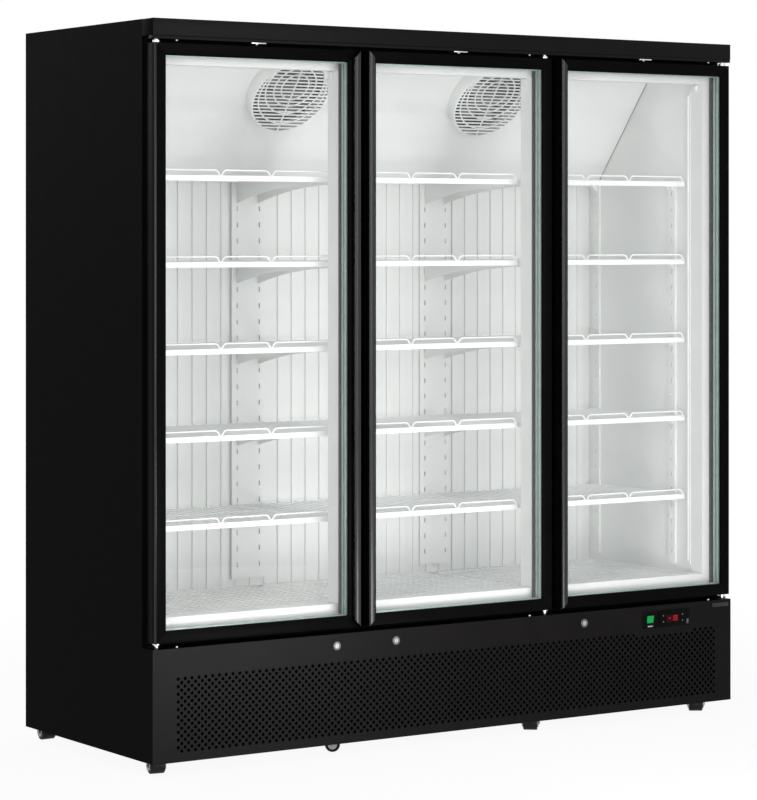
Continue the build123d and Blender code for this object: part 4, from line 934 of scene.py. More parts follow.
@dataclass
class Door:
    """One glazed door: mitred frame with its grip, panes, spacers and seal."""

    side: Side
    stile: float = 0.033
    grip_width: float = 0.021
    grip_proud: float = 0.018
    grip_round: float = 0.007
    tolerance: float = 1e-5
    bead: float = 0.0036
    bead_end: float = 0.0005
    bead_sides: int = 24
    bead_soft: float = 0.0004
    chamfer: float = 0.0032
    mitre: float = 0.0003
    edge_soft: float = 0.0009
    cam_room: float = 0.002
    cam_sheet: float = 0.0025
    panes: int = 3
    pane: float = 0.004
    pane_soft: float = 0.0004
    spacer: float = 0.012
    spacer_room: float = 0.0002
    spacer_soft: float = 0.0006

    @property
    def body(self) -> str:
        """Body that the door moves as."""
        return f"door_{self.side.value}"

    def node(self, part: str) -> str:
        """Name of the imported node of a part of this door."""
        return f"door_{part}_{self.side.value}"

    def build(self) -> None:
        """Build the frame, the glazing and the seal."""
        self.frame()
        self.glazing()
        GASKET_BLACK.dress_nodes(self.node("gasket"))

    def frame(self) -> None:
        """Build the four mitred bars and the raised grip."""
        low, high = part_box(self.node("frame"))
        front = low.y + self.grip_proud
        glass_low, glass_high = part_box(self.node("glass"))
        bars = [Bench.cut(bar, *planes) for bar, planes in self._bars(low, high, front)]
        if self.side is Side.LEFT:
            Bench.cut(bars[0], ((low.x + self.chamfer, front, low.z), (-1, -1, 0)))
        for bar in bars:
            Bench.hollow(bar, Bench.block(glass_low, glass_high), self._cam_slot(low.z))
            Bench.soften(bar, self.edge_soft)
        Bench.assemble(f"{self.body}_frame", bars, DOOR_BLACK, self.body, self.node("frame"))
        edges = [self._grip(low, high, front)]
        if self.side is Side.LEFT:
            edges.append(self._bead(low, high, front))
        Bench.assemble(f"{self.body}_grip", edges, GRIP_BLACK, self.body)

    def _bars(self, low: Vector, high: Vector, front: float) -> list[tuple[Piece, tuple]]:
        """Make the bars before their ends are cut.

        Args:
            low: Lowest corner of the frame.
            high: Highest corner of the frame.
            front: Y of the bars' front.

        Returns:
            Each bar with the planes that mitre its ends.
        """
        x0, x1, z0, z1 = low.x, high.x, low.z, high.z
        in0, in1 = x0 + self.mitre, x1 - self.mitre
        left = Bench.block((x0, front, z0), (x0 + self.stile, high.y, z1))
        right = Bench.block((x1 - self.stile, front, z0), (x1, high.y, z1))
        top = Bench.block((in0, front, z1 - self.stile), (in1, high.y, z1))
        bottom = Bench.block((in0, front, z0), (in1, high.y, z0 + self.stile))
        return [
            (left, (((x0, front, z0), (1, 0, -1)), ((x0, front, z1), (1, 0, 1)))),
            (right, (((x1, front, z0), (-1, 0, -1)), ((x1, front, z1), (-1, 0, 1)))),
            (top, (((in0, front, z1), (-1, 0, -1)), ((in1, front, z1), (1, 0, -1)))),
            (bottom, (((in0, front, z0), (-1, 0, 1)), ((in1, front, z0), (1, 0, 1)))),
        ]

    def _cam_slot(self, foot: float) -> Piece:
        """Make the room that the lock's cam turns up into.

        Args:
            foot: Z of the frame's lower edge.

        Returns:
            The block to cut away.
        """
        low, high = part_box(f"lock_plug_{self.side.value}")
        radius = (high.z - low.z) / 2
        reach = high.x - low.x - radius
        return Bench.block(
            (low.x - self.cam_room, high.y - self.cam_sheet - self.cam_room, foot - CUT_ROOM),
            (high.x, high.y + self.cam_room, low.z + radius + reach + self.cam_room),
        )

    def _grip(self, low: Vector, high: Vector, front: float) -> Piece:
        """Make the ridge that the hand pulls, on the stile away from the hinge.

        Args:
            low: Lowest corner of the frame.
            high: Highest corner of the frame.
            front: Y of the bars' front.

        Returns:
            The grip.
        """
        on_right = self.side is Side.LEFT
        turn = -1.0 if on_right else 1.0
        outer = high.x if on_right else low.x
        edges = sorted((outer, outer + turn * self.grip_width))
        grip = Bench.block((edges[0], low.y, low.z), (edges[1], front, high.z))
        Bench.cut(grip, ((outer, front, low.z), (turn, 0, -1)), ((outer, front, high.z), (turn, 0, 1)))
        corners = grip.data.vertices
        crest = [
            edge.index
            for edge in grip.data.edges
            if all(abs(corners[end].co.y - low.y) < self.tolerance for end in edge.vertices)
            and abs(corners[edge.vertices[0]].co.x - corners[edge.vertices[1]].co.x) < self.tolerance
        ]
        return Bench.round_edges(grip, crest, self.grip_round)

    def _bead(self, low: Vector, high: Vector, front: float) -> Piece:
        """Make the rounded bead on the corner over the hinge.

        Args:
            low: Lowest corner of the frame.
            high: Highest corner of the frame.
            front: Y of the bars' front.

        Returns:
            The bead.
        """
        x, y = low.x + self.bead, front + self.bead
        foot, top = low.z + self.bead_end, high.z - self.bead_end
        return Bench.rod((x, y, foot), (x, y, top), self.bead, self.bead_sides, soft=self.bead_soft)

    def glazing(self) -> None:
        """Build three panes and the spacer bars between them."""
        low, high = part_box(self.node("glass"))
        gap = (high.y - low.y - self.panes * self.pane) / (self.panes - 1)
        glass, bars = [], []
        for layer in range(self.panes):
            y = low.y + layer * (self.pane + gap)
            glass.append(Bench.block((low.x, y, low.z), (high.x, y + self.pane, high.z), self.pane_soft, 1))
            if layer < self.panes - 1:
                bars += self._spacer(low, high, y + self.pane + self.spacer_room, gap - 2 * self.spacer_room)
        Bench.assemble(f"{self.body}_panes", glass, PANE_CLEAR, self.body, self.node("glass"))
        Bench.assemble(f"{self.body}_spacers", bars, SPACER_GREY, self.body)

    def _spacer(self, low: Vector, high: Vector, y: float, depth: float) -> list[Piece]:
        """Make one layer of spacer bars.

        Args:
            low: Lowest corner of the glass.
            high: Highest corner of the glass.
            y: Front of the layer.
            depth: Depth of the layer.

        Returns:
            Four bars.
        """
        width, back = self.spacer, y + depth
        spans = (
            ((low.x, low.z), (low.x + width, high.z)),
            ((high.x - width, low.z), (high.x, high.z)),
            ((low.x + width, low.z), (high.x - width, low.z + width)),
            ((low.x + width, high.z - width), (high.x - width, high.z)),
        )
        return [
            Bench.block((x0, y, z0), (x1, back, z1), self.spacer_soft) for (x0, z0), (x1, z1) in spans
        ]


@dataclass
class HingeWork:
    """Hinge brackets, door switch plates and the small screws beside them."""

    plate_half: float = 0.012
    plate_front: float = 0.004
    plate_sheet: float = 0.004
    plate_soft: float = 0.0008
    gap_top: float = 0.004
    gap_bottom: float = 0.0025
    flange: float = 0.024
    flange_sheet: float = 0.003
    pin: float = 0.0055
    pin_sides: int = 28
    pin_soft: float = 0.0005
    lip: float = HEADER_LIP
    collar: float = 0.010
    collar_height: float = 0.0035
    cap_height: float = 0.0065
    collar_gap: float = 0.0004
    screw_offset: float = 0.058
    screw_fore: float = 0.007
    screw: Screw = Screw(radius=0.0032, height=0.004)
    switch_half: float = 0.0225
    switch_sheet: float = 0.003
    switch_depth: float = 0.024
    switch_soft: float = 0.0006
    switch_bump: tuple[float, float] = (0.005, 0.003)
    bump_sides: int = 24
    bump_soft: float = 0.001

    def build(self) -> None:
        """Build the brackets, their pins, the screws and the switch plates."""
        self.switches()
        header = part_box("header_panel")[0].z
        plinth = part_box("plinth_frame")[1]
        plates, pins, heads = [], [], []
        for joint in frame["joints"]:
            if not joint["name"].endswith("_hinge"):
                continue
            pivot = Vector(joint["pos_m"])
            door_low, door_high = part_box(joint["child"].replace("door_", "door_frame_"))
            top, bottom = header - self.gap_top, plinth.z + self.gap_bottom
            for plate, flange in (
                ((top - self.plate_sheet, top), (top - self.flange, top)),
                ((bottom, bottom + self.plate_sheet), (bottom, bottom + self.flange)),
            ):
                plates += self._bracket(pivot, plate, flange)
            seat, cap = door_low.z - self.collar_gap, door_high.z + self.collar_gap
            for foot, head, radius in (
                (plinth.z, seat, self.pin),
                (seat - self.collar_height, seat, self.collar),
                (cap, cap + self.cap_height, self.collar),
                (cap, header, self.pin),
            ):
                ends = ((pivot.x, pivot.y, foot), (pivot.x, pivot.y, head))
                pins.append(Bench.rod(*ends, radius, self.pin_sides, self.pin_soft))
            toward = 1.0 if joint["axis"][2] < 0 else -1.0
            x, y = pivot.x + toward * self.screw_offset, pivot.y - self.screw_fore
            heads.append(self.screw.head((x, y, header - self.lip), (0, 0, -1)))
            heads.append(self.screw.head((x, y, plinth.z), (0, 0, 1)))
        Bench.assemble("hinge_plates", plates, TRIM_BLACK, CABINET, "hinge_brackets")
        Bench.assemble("hinge_pins", pins, BRIGHT_ZINC, CABINET)
        Bench.assemble("hinge_screws", heads, SCREW_ZINC, CABINET)

    def switches(self) -> None:
        """Build the switch plates under the header's lip, each with its button."""
        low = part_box("header_panel")[0]
        top = low.z - self.lip
        foot = top - self.switch_sheet
        radius, reach = self.switch_bump
        plates = []
        for side in Side:
            door_low, door_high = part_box(f"door_frame_{side.value}")
            x, y = (door_low.x + door_high.x) / 2, low.y + self.switch_depth / 2
            corner = (x - self.switch_half, low.y, foot)
            far = (x + self.switch_half, low.y + self.switch_depth, top)
            plates.append(Bench.block(corner, far, self.switch_soft))
            ends = ((x, y, foot), (x, y, foot - reach))
            plates.append(Bench.rod(*ends, radius, self.bump_sides, self.bump_soft))
        Bench.assemble("switch_plates", plates, BRIGHT_ZINC, CABINET, "door_switch_plates")

    def _bracket(self, pivot: Vector, plate: tuple[float, float], flange: tuple[float, float]) -> list[Piece]:
        """Make a bracket's plate and the flange that is screwed to the cabinet face.

        Args:
            pivot: Point on the hinge's axis.
            plate: Lowest and highest Z of the plate.
            flange: Lowest and highest Z of the flange.

        Returns:
            The plate and the flange.
        """
        left, right = pivot.x - self.plate_half, pivot.x + self.plate_half
        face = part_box("face_frame")[0].y
        spans = ((pivot.y - self.plate_front, plate), (face - self.flange_sheet, flange))
        return [
            Bench.block((left, front, foot), (right, face, top), self.plate_soft)
            for front, (foot, top) in spans
        ]


@dataclass
class ShelfBay:
    """Wire shelves, front rails and floor grid of one bay."""

    side: Side
    tops: tuple[float, ...] = (0.643, 0.879, 1.114, 1.349, 1.583)
    floor_top: float = 0.408
    width: float = 0.594
    floor_width: float = 0.588
    depth: float = 0.450
    wires: int = 22
    wire: float = 0.0019
    wire_sides: int = 8
    cross: float = 0.0022
    cross_rows: int = 4
    weld: float = 0.0006
    foot_depth: float = 0.01
    foot_drop: float = 0.006
    foot_soft: float = 0.001
    lip_height: float = 0.015
    lip_sheet: float = 0.0025
    lip_gap: float = 0.0003
    lip_soft: float = 0.0009
    rail: float = 0.00225
    rail_rise: float = 0.014
    notch_x: float = 0.080
    notch_half: float = 0.012
    rail_end: float = 0.008
    corner: float = 0.004

    @property
    def node(self) -> str:
        """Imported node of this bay's shelves."""
        return f"shelves_{self.side.value}"

    def build(self) -> None:
        """Build one shelf, repeat it at each height, and add the floor grid."""
        low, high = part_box(self.node)
        middle = (low.x + high.x) / 2
        front = high.y - self.depth
        first = self._shelf(middle, front, self.tops[0])
        shelves = [first]
        for top in self.tops[1:]:
            shelves.append(Bench.copy(first, Matrix.Translation((0, 0, top - self.tops[0]))))
        grid = self._grid(middle, front, self.floor_top, self.floor_width)
        left, right = middle - self.floor_width / 2, middle + self.floor_width / 2
        depth, foot_top = self.foot_depth, self.floor_top - self.foot_drop
        feet = [
            Bench.block((left, y, low.z), (right, y + depth, foot_top), self.foot_soft)
            for y in (front, high.y - depth)
        ]
        for number, shelf in enumerate(shelves, 1):
            nodes = (self.node,) if number == 1 else ()
            Bench.fit(shelf, f"shelf_{self.side.value}_{number}", WHITE_WIRE, CABINET, *nodes)
        Bench.assemble(f"floor_grid_{self.side.value}", [grid, *feet], WHITE_WIRE, CABINET)

    def _grid(self, middle: float, front: float, top: float, width: float) -> Piece:
        """Make a welded grid of round wires.

        Args:
            middle: X of its middle.
            front: Y of its front edge.
            top: Z of its top.
            width: Its width.

        Returns:
            The grid.
        """
        left, back = middle - width / 2, front + self.depth
        z = top - self.wire
        x = left + self.wire
        run = Bench.rod((x, front, z), (x, back, z), self.wire, self.wire_sides)
        Bench.row(run, ((width - 2 * self.wire) / (self.wires - 1), 0, 0), self.wires)
        under = z - self.wire - self.cross + self.weld
        y = front + self.cross
        cross = Bench.rod((left, y, under), (left + width, y, under), self.cross, self.wire_sides)
        Bench.row(cross, (0, (self.depth - 2 * self.cross) / (self.cross_rows - 1), 0), self.cross_rows)
        return Bench.join("grid", [run, cross])

    def _shelf(self, middle: float, front: float, top: float) -> Piece:
        """Make one shelf: grid, front lip and notched rail.

        Args:
            middle: X of its middle.
            front: Y of its front edge.
            top: Z of its top.

        Returns:
            The shelf.
        """
        half = self.width / 2
        back = front - self.lip_gap
        face = back - self.lip_sheet
        lip = Bench.block(
            (middle - half, face, top - self.lip_height), (middle + half, back, top), self.lip_soft
        )
        y = face - self.lip_gap - self.rail
        rail = Bench.wire([(middle + x, y, z) for x, z in self._rail_line(top)], self.rail)
        return Bench.join("shelf", [self._grid(middle, front, top, self.width), lip, rail])

    def _rail_line(self, top: float) -> list[tuple[float, float]]:
        """Line of the front rail, with its corners eased.

        Args:
            top: Z of the shelf's top.

        Returns:
            X from the middle and Z of each point.
        """
        half = self.width / 2 - self.rail_end
        crest, notch = top + self.rail_rise, top - 2 * self.rail
        corners = [(-half, notch), (self.rail_end - half, crest)]
        for x in (-self.notch_x, self.notch_x):
            corners += [(x - self.notch_half, crest), (x, notch), (x + self.notch_half, crest)]
        corners += [(half - self.rail_end, crest), (half, notch)]
        eased = [corners[0]]
        for before, here, after in zip(corners, corners[1:], corners[2:]):
            for other in (before, after):
                along = Vector(other) - Vector(here)
                eased.append(tuple(Vector(here) + along.normalized() * self.corner))
        return [*eased, corners[-1]]


@dataclass
class ColdWorks:
    """Evaporator cover, fans, guards, duct, shelf supports and lamps."""

    guard_radius: float = 0.123
    guard_inner: float = 0.119
    guard_proud: float = 0.038
    guard_taper: float = 0.0015
    guard_steps: int = 72
    rim: float = 0.0025
    rim_middle: tuple[float, float] = (0.001, 0.0007)
    rim_lip: float = 0.001
    slat_pitch: float = 0.0114
    slat_width: float = 0.0050
    slat_drop: float = 0.0012
    slat_soft: float = 0.0005
    slats: int = 20
    face: float = 0.0018
    rings: tuple[tuple[float, float], ...] = (
        (0.043, 0.035),
        (0.066, 0.035),
        (0.092, 0.035),
        (0.106, 0.014),
    )
    rib: float = 0.0023
    rib_rise: float = 0.0008
    # Inner and outer radius, then height and steps, of the black ring round each fan's opening, which is
    # painted shade for the depth inside the drum.
    shade_ring: tuple[float, float] = (0.0805, 0.1185)
    shade_ring_level: tuple[float, float] = (0.0003, 0.0009)
    shade_ring_steps: int = 64
    seam: float = 0.0012
    lamp_soft: float = 0.0035
    lamp_fore: float = 0.004
    lamp_end: float = 0.01
    mullion_lamp: float = 0.026
    side_lamp: float = 0.008
    seat_depth: float = 0.006
    seat_soft: float = 0.001
    clip: float = 0.006
    clip_height: float = 0.016
    clip_drop: float = 0.04
    clip_offset: float = 0.042
    clip_reach: tuple[float, float] = (0.03, 0.012)

    def build(self) -> None:
        """Build the guards and lamps and dress the rest."""
        WHITE_COAT.dress_nodes("evaporator_cover", "back_duct_panel", "shelf_uprights", "shelf_brackets")
        # The fans are dressed dark grey, painted shade in place of their pale moulding.
        EVAPORATOR_FAN_SHADED.dress_nodes("evaporator_fan_left", "evaporator_fan_right")
        COATED_FIN.dress_nodes("evaporator_coil")
        DARK_ZINC.dress_nodes("fan_motors")
        self.guards()
        self.seams()
        self.lamps()

    def guards(self) -> None:
        """Build the drum guards in front of the two fans and the black rings of painted shade under them, cut
        off at the ceiling.
        """
        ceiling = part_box("fan_guards")[1].z
        pattern, shade_ring = self._guard(), self._painted_shade_ring()
        guards, shade_rings = [], []
        for joint in frame["joints"]:
            if joint["name"] in ("fan_left_spin", "fan_right_spin"):
                out = Vector(joint["axis"])
                across = Vector((1, 0, 0))
                up = out.cross(across)
                turn = Matrix((across, up, out)).transposed().to_4x4()
                place = Matrix.Translation(Vector(joint["pos_m"])) @ turn
                for shape, copies in ((pattern, guards), (shade_ring, shade_rings)):
                    copies.append(Bench.cut(Bench.copy(shape, place), ((0, 0, ceiling), (0, 0, 1))))
        for shape in (pattern, shade_ring):
            bpy.data.objects.remove(shape)
        # The black rings are painted shade for the depth inside the drums.
        Bench.assemble("fan_shade_rings", shade_rings, FAN_SHADE_RING, CABINET)
        Bench.assemble("fan_guards_slatted", guards, WHITE_PLASTIC, CABINET, "fan_guards")

    def _guard(self) -> Piece:
        """Make one guard about the origin, facing +Z.

        Returns:
            The guard.
        """
        outer, inner, top = self.guard_radius, self.guard_inner, self.guard_proud
        edge, lip = outer - self.guard_taper, inner - self.rim_lip
        across, down = self.rim_middle
        profile = [
            (outer, 0.0),
            (edge, top - self.rim),
            (edge - across, top - down),
            (edge - self.rim, top),
            (lip, top),
            (lip, top - self.face),
            (inner, top - self.face),
            (inner, 0.0),
        ]
        drum = Bench.spin(profile, self.guard_steps)
        parts = [drum]
        for slat in range(self.slats):
            y = (slat - (self.slats - 1) / 2) * self.slat_pitch
            half = math.sqrt(inner**2 - y**2)
            foot, head = y - self.slat_width / 2, y + self.slat_width / 2
            low, high = (-half, foot, top - self.face), (half, head, top - self.slat_drop)
            parts.append(Bench.block(low, high, self.slat_soft, 1))
        level = top - self.rib_rise
        parts += [self._arc(radius, rise, level) for radius, rise in self.rings]
        parts.append(Bench.wire([(0, -inner, level), (0, inner, level)], self.rib, sides=1))
        return Bench.join("guard", parts)

    def _painted_shade_ring(self) -> Piece:
        """Make the black ring on the cover round a fan's opening, painted shade for the depth inside the
        drum.

        Returns:
            The ring about the origin, facing +Z.
        """
        inner, outer = self.shade_ring
        low, high = self.shade_ring_level
        return Bench.spin([(inner, low), (outer, low), (outer, high), (inner, high)], self.shade_ring_steps)

    def seams(self) -> None:
        """Build the seals where the cover's slope meets the side walls."""
        low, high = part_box("evaporator_cover")
        joint = next(joint for joint in frame["joints"] if joint["name"] == "fan_left_spin")
        centre, out = Vector(joint["pos_m"]), Vector(joint["axis"])
        lines = []
        for x in (low.x + self.seam, high.x - self.seam):
            ends = []
            for z in (high.z - 2 * self.seam, low.z + 2 * self.seam):
                y = centre.y - (z - centre.z) * out.z / out.y
                ends.append((x, y - self.seam, z))
            lines.append(Bench.wire(ends, self.seam, sides=1))
        Bench.assemble("cover_seams", lines, SEAL_GREY, CABINET)

    def _arc(self, radius: float, rise: float, z: float) -> Piece:
        """Make the part of a ring that lies on a guard's face.

        Args:
            radius: Radius of the ring.
            rise: Distance of its middle from the middle of the face.
            z: Height of its middle line.

        Returns:
            The ring, or the arc of it inside the drum.
        """
        line, steps = [], self.guard_steps
        for step in range(steps):
            turn = math.pi / 2 + 2.0 * math.pi * step / steps
            point = Vector((radius * math.cos(turn), rise + radius * math.sin(turn), z))
            if point.xy.length < self.guard_inner:
                line.append(point)
        return Bench.wire(line, self.rib, closed=len(line) == steps, sides=1)

    def lamps(self) -> None:
        """Build the lamps behind the mullions and beside the posts."""
        low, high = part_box("led_lamps")
        mullion = (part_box("door_frame_left")[1].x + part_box("door_frame_centre")[0].x) / 2
        spans = [
            (low.x, low.x + self.side_lamp),
            (mullion - self.mullion_lamp / 2, mullion + self.mullion_lamp / 2),
            (-mullion - self.mullion_lamp / 2, -mullion + self.mullion_lamp / 2),
            (high.x - self.side_lamp, high.x),
        ]
        covers, seats = [], []
        for x0, x1 in spans:
            cover_low = (x0, low.y + self.lamp_fore, low.z + self.lamp_end)
            covers.append(Bench.block(cover_low, (x1, high.y, high.z - self.lamp_end), self.lamp_soft, 4))
            seat_high = (x1, low.y + self.seat_depth, high.z)
            seats.append(Bench.block((x0, low.y, low.z), seat_high, self.seat_soft))
        Bench.assemble("lamp_covers", covers, OPAL_LAMP, CABINET, "led_lamps")
        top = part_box("door_gasket_left")[1].z - self.clip_drop
        fore, aft = (low.y - reach for reach in self.clip_reach)
        for x in (mullion - self.clip_offset, -mullion - self.clip_offset, high.x - self.clip):
            clip_low = (x - self.clip, fore, top - self.clip_height)
            seats.append(Bench.block(clip_low, (x, aft, top), self.seat_soft))
        Bench.assemble("lamp_seats", seats, WHITE_PLASTIC, CABINET)


@dataclass
class WarmWorks:
    """Compressor, condenser and fan behind the lower front."""

    pipe: float = 0.0045
    deck_sheet: float = 0.004
    stub: float = 0.02
    bend: float = 0.03
    tail: float = 0.005
    delivery_level: float = 0.2
    suction_inset: float = 0.09
    suction_bend: tuple[float, float] = (0.04, 0.06)
    suction_level: tuple[float, float] = (0.22, 0.25)

    def build(self) -> None:
        """Dress the nodes and build the copper pipes."""
        POT_BLACK.dress_nodes("compressor")
        FIN_ALUMINIUM.dress_nodes("condenser_coil")
        FAN_GREY.dress_nodes("condenser_fan")
        low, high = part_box("compressor")
        coil_low, coil_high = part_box("condenser_coil")
        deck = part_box("base_frame")[1].z - self.deck_sheet
        y, level = (low.y + high.y) / 2, self.delivery_level
        stub, bend = self.stub, self.bend
        delivery = [
            (low.x + stub, y, level),
            (low.x - bend, y, level),
            (low.x - 2 * bend, y - bend, level),
            (coil_high.x + bend, coil_high.y + bend, level),
            (coil_high.x + stub, coil_low.y + bend, level),
            (coil_high.x - self.tail, coil_low.y + bend, level),
        ]
        x = low.x + self.suction_inset
        near, far = (high.y + reach for reach in self.suction_bend)
        foot, head = self.suction_level
        suction = [(x, high.y - stub, foot), (x, near, foot), (x, far, head), (x, far, deck)]
        pipes = [Bench.wire(line, self.pipe, sides=3) for line in (delivery, suction)]
        Bench.assemble("copper_pipes", pipes, COPPER, CABINET)


@dataclass
class Controls:
    """Control plate, rocker trim, thermostat and locks in the lower front."""

    plate_sheet: float = 0.002
    plate_soft: float = 0.0006
    rocker_room: tuple[float, float] = (0.0036, 0.0024)
    body_room: tuple[float, float] = (0.012, 0.0055)
    trim_proud: float = 0.0012
    trim_width: float = 0.0025
    trim_soft: float = 0.0005
    label_sheet: float = 0.0003
    label_inset: tuple[float, float] = (0.0105, 0.0035)
    label_rise: tuple[float, float] = (0.005, 0.019)
    strip_inset: float = 0.006
    strip_rise: tuple[float, float] = (0.004, 0.0075)
    face_soft: float = 0.0015
    body_inset: tuple[float, float] = (0.013, 0.0065)
    body_soft: float = 0.001
    display: tuple[float, float] = (0.046, 0.020)
    recess: float = 0.0008
    window_room: float = 0.0006
    window_level: tuple[float, float] = (0.0003, 0.0002)
    digit: tuple[float, float] = (0.0075, 0.0135)
    digit_pitch: float = 1.6
    digit_level: tuple[float, float] = (0.0002, 0.0001)
    stroke: float = 0.0014
    key: float = 0.0016
    key_proud: float = 0.0004
    key_offset: tuple[float, float] = (0.036, 0.009)
    fine_soft: float = 0.0001

    def build(self) -> None:
        """Build the plate and the thermostat and dress the rocker and the locks."""
        SWITCH_GREEN.dress_nodes("power_switch")
        CHROME.dress_nodes(*(f"lock_plug_{side.value}" for side in Side))
        LOCK_RING.dress_nodes("lock_barrels")
        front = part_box("grille_panel")[0].y
        self.plate(front)
        self.labels()
        self.thermostat(front - self.plate_sheet)

    def plate(self, front: float) -> None:
        """Build the plate, open behind the rocker and the thermostat, with a trim round the rocker.

        Args:
            front: Y of the lower front's face.
        """
        low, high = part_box("control_plate")
        rocker_low, rocker_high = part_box("power_switch")
        body_low, body_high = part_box("thermostat")
        room_x, room_z = self.rocker_room
        body_x, body_z = self.body_room
        x0, x1 = rocker_low.x + room_x, rocker_high.x - room_x
        z0, z1 = rocker_low.z - room_z, rocker_high.z + room_z
        fore, aft = low.y - CUT_ROOM, front + CUT_ROOM
        plate = Bench.block((low.x, low.y, low.z), (high.x, front, high.z))
        Bench.hollow(
            plate,
            Bench.block((x0, fore, z0), (x1, aft, z1)),
            Bench.block(
                (body_low.x + body_x, fore, body_low.z + body_z),
                (body_high.x - body_x, aft, body_high.z - body_z),
            ),
        )
        Bench.soften(plate, self.plate_soft)
        trim = Bench.block(
            (x0 - self.trim_width, low.y - self.trim_proud, z0 - self.trim_width),
            (x1 + self.trim_width, low.y, z1 + self.trim_width),
        )
        Bench.hollow(trim, Bench.block((x0, fore, z0), (x1, front, z1)))
        Bench.soften(trim, self.trim_soft)
        Bench.assemble("control_plate_trimmed", [plate, trim], CONTROL_BLACK, CABINET, "control_plate")

    def labels(self) -> None:
        """Build the bare pale strip under the rocker and the bare label at the plate's end."""
        low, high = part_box("control_plate")
        rocker_low, rocker_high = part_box("power_switch")
        inset, (far, near) = self.strip_inset, self.label_inset
        for name, finish, left, right, (foot, top) in (
            ("rocker_strip", KEY_WHITE, rocker_low.x + inset, rocker_high.x - inset, self.strip_rise),
            ("bare_label", LABEL_GREY, high.x - far, high.x - near, self.label_rise),
        ):
            corner = (left, low.y - self.label_sheet, low.z + foot)
            piece = Bench.block(corner, (right, low.y, low.z + top), self.fine_soft)
            Bench.fit(piece, name, finish, CABINET)

    def thermostat(self, back: float) -> None:
        """Build the thermostat's face, its lit window, digits and key marks.

        Args:
            back: Y of the surface that the face lies on.
        """
        low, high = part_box("thermostat")
        middle = (low + high) / 2
        width, height = self.display
        x0, x1 = middle.x - width / 2, middle.x + width / 2
        z0, z1 = middle.z - height / 2, middle.z + height / 2
        floor = low.y + self.recess
        face = Bench.block((low.x, low.y, low.z), (high.x, back, high.z), self.face_soft, 3)
        Bench.hollow(face, Bench.block((x0, low.y - CUT_ROOM, z0), (x1, floor, z1)))
        inset_x, inset_z = self.body_inset
        body_low = (low.x + inset_x, back, low.z + inset_z)
        body = Bench.block(body_low, (high.x - inset_x, high.y, high.z - inset_z), self.body_soft)
        Bench.assemble("thermostat_face", [face, body], CONTROL_BLACK, CABINET, "thermostat")
        room, (proud, sunk) = self.window_room, self.window_level
        front = floor - proud
        glass_low = (x0 + room, front, z0 + room)
        glass = Bench.block(glass_low, (x1 - room, floor + sunk, z1 - room), self.fine_soft, 1)
        Bench.fit(glass, "thermostat_window", DISPLAY_RED, CABINET)
        self._digits(middle, front)
        self._keys(middle, low.y)

    def _digits(self, middle: Vector, front: float) -> None:
        """Build a plain seven-bar readout of minus eighteen.

        Args:
            middle: Middle of the window.
            front: Y of the window's face.
        """
        width, height = self.digit
        bars = {
            "top": ((0, 1), (1, 1)),
            "middle": ((0, 0.5), (1, 0.5)),
            "bottom": ((0, 0), (1, 0)),
            "upper_left": ((0, 0.5), (0, 1)),
            "upper_right": ((1, 0.5), (1, 1)),
            "lower_left": ((0, 0), (0, 0.5)),
            "lower_right": ((1, 0), (1, 0.5)),
        }
        readout = (("middle",), ("upper_right", "lower_right"), tuple(bars))
        half, (proud, sunk) = self.stroke / 2, self.digit_level
        strokes = []
        for place, lit in enumerate(readout):
            left = middle.x + (place - 1) * self.digit_pitch * width - width / 2
            foot = middle.z - height / 2
            for bar in lit:
                (u0, v0), (u1, v1) = bars[bar]
                low = (left + u0 * width - half, front - proud, foot + v0 * height - half)
                high = (left + u1 * width + half, front + sunk, foot + v1 * height + half)
                strokes.append(Bench.block(low, high, self.fine_soft, 1))
        Bench.assemble("readout_digits", strokes, DIGIT_RED, CABINET)

    def _keys(self, middle: Vector, front: float) -> None:
        """Build the marks of the four keys beside the window.

        Args:
            middle: Middle of the face.
            front: Y of the face.
        """
        marks = []
        across, rise = self.key_offset
        for x in (-across, across):
            for z in (rise, -rise):
                centre = Vector((middle.x + x, front, middle.z + z))
                face = centre - Vector((0, self.key_proud, 0))
                marks.append(Bench.rod(centre, face, self.key, soft=self.fine_soft))
        Bench.assemble("key_marks", marks, KEY_WHITE, CABINET)


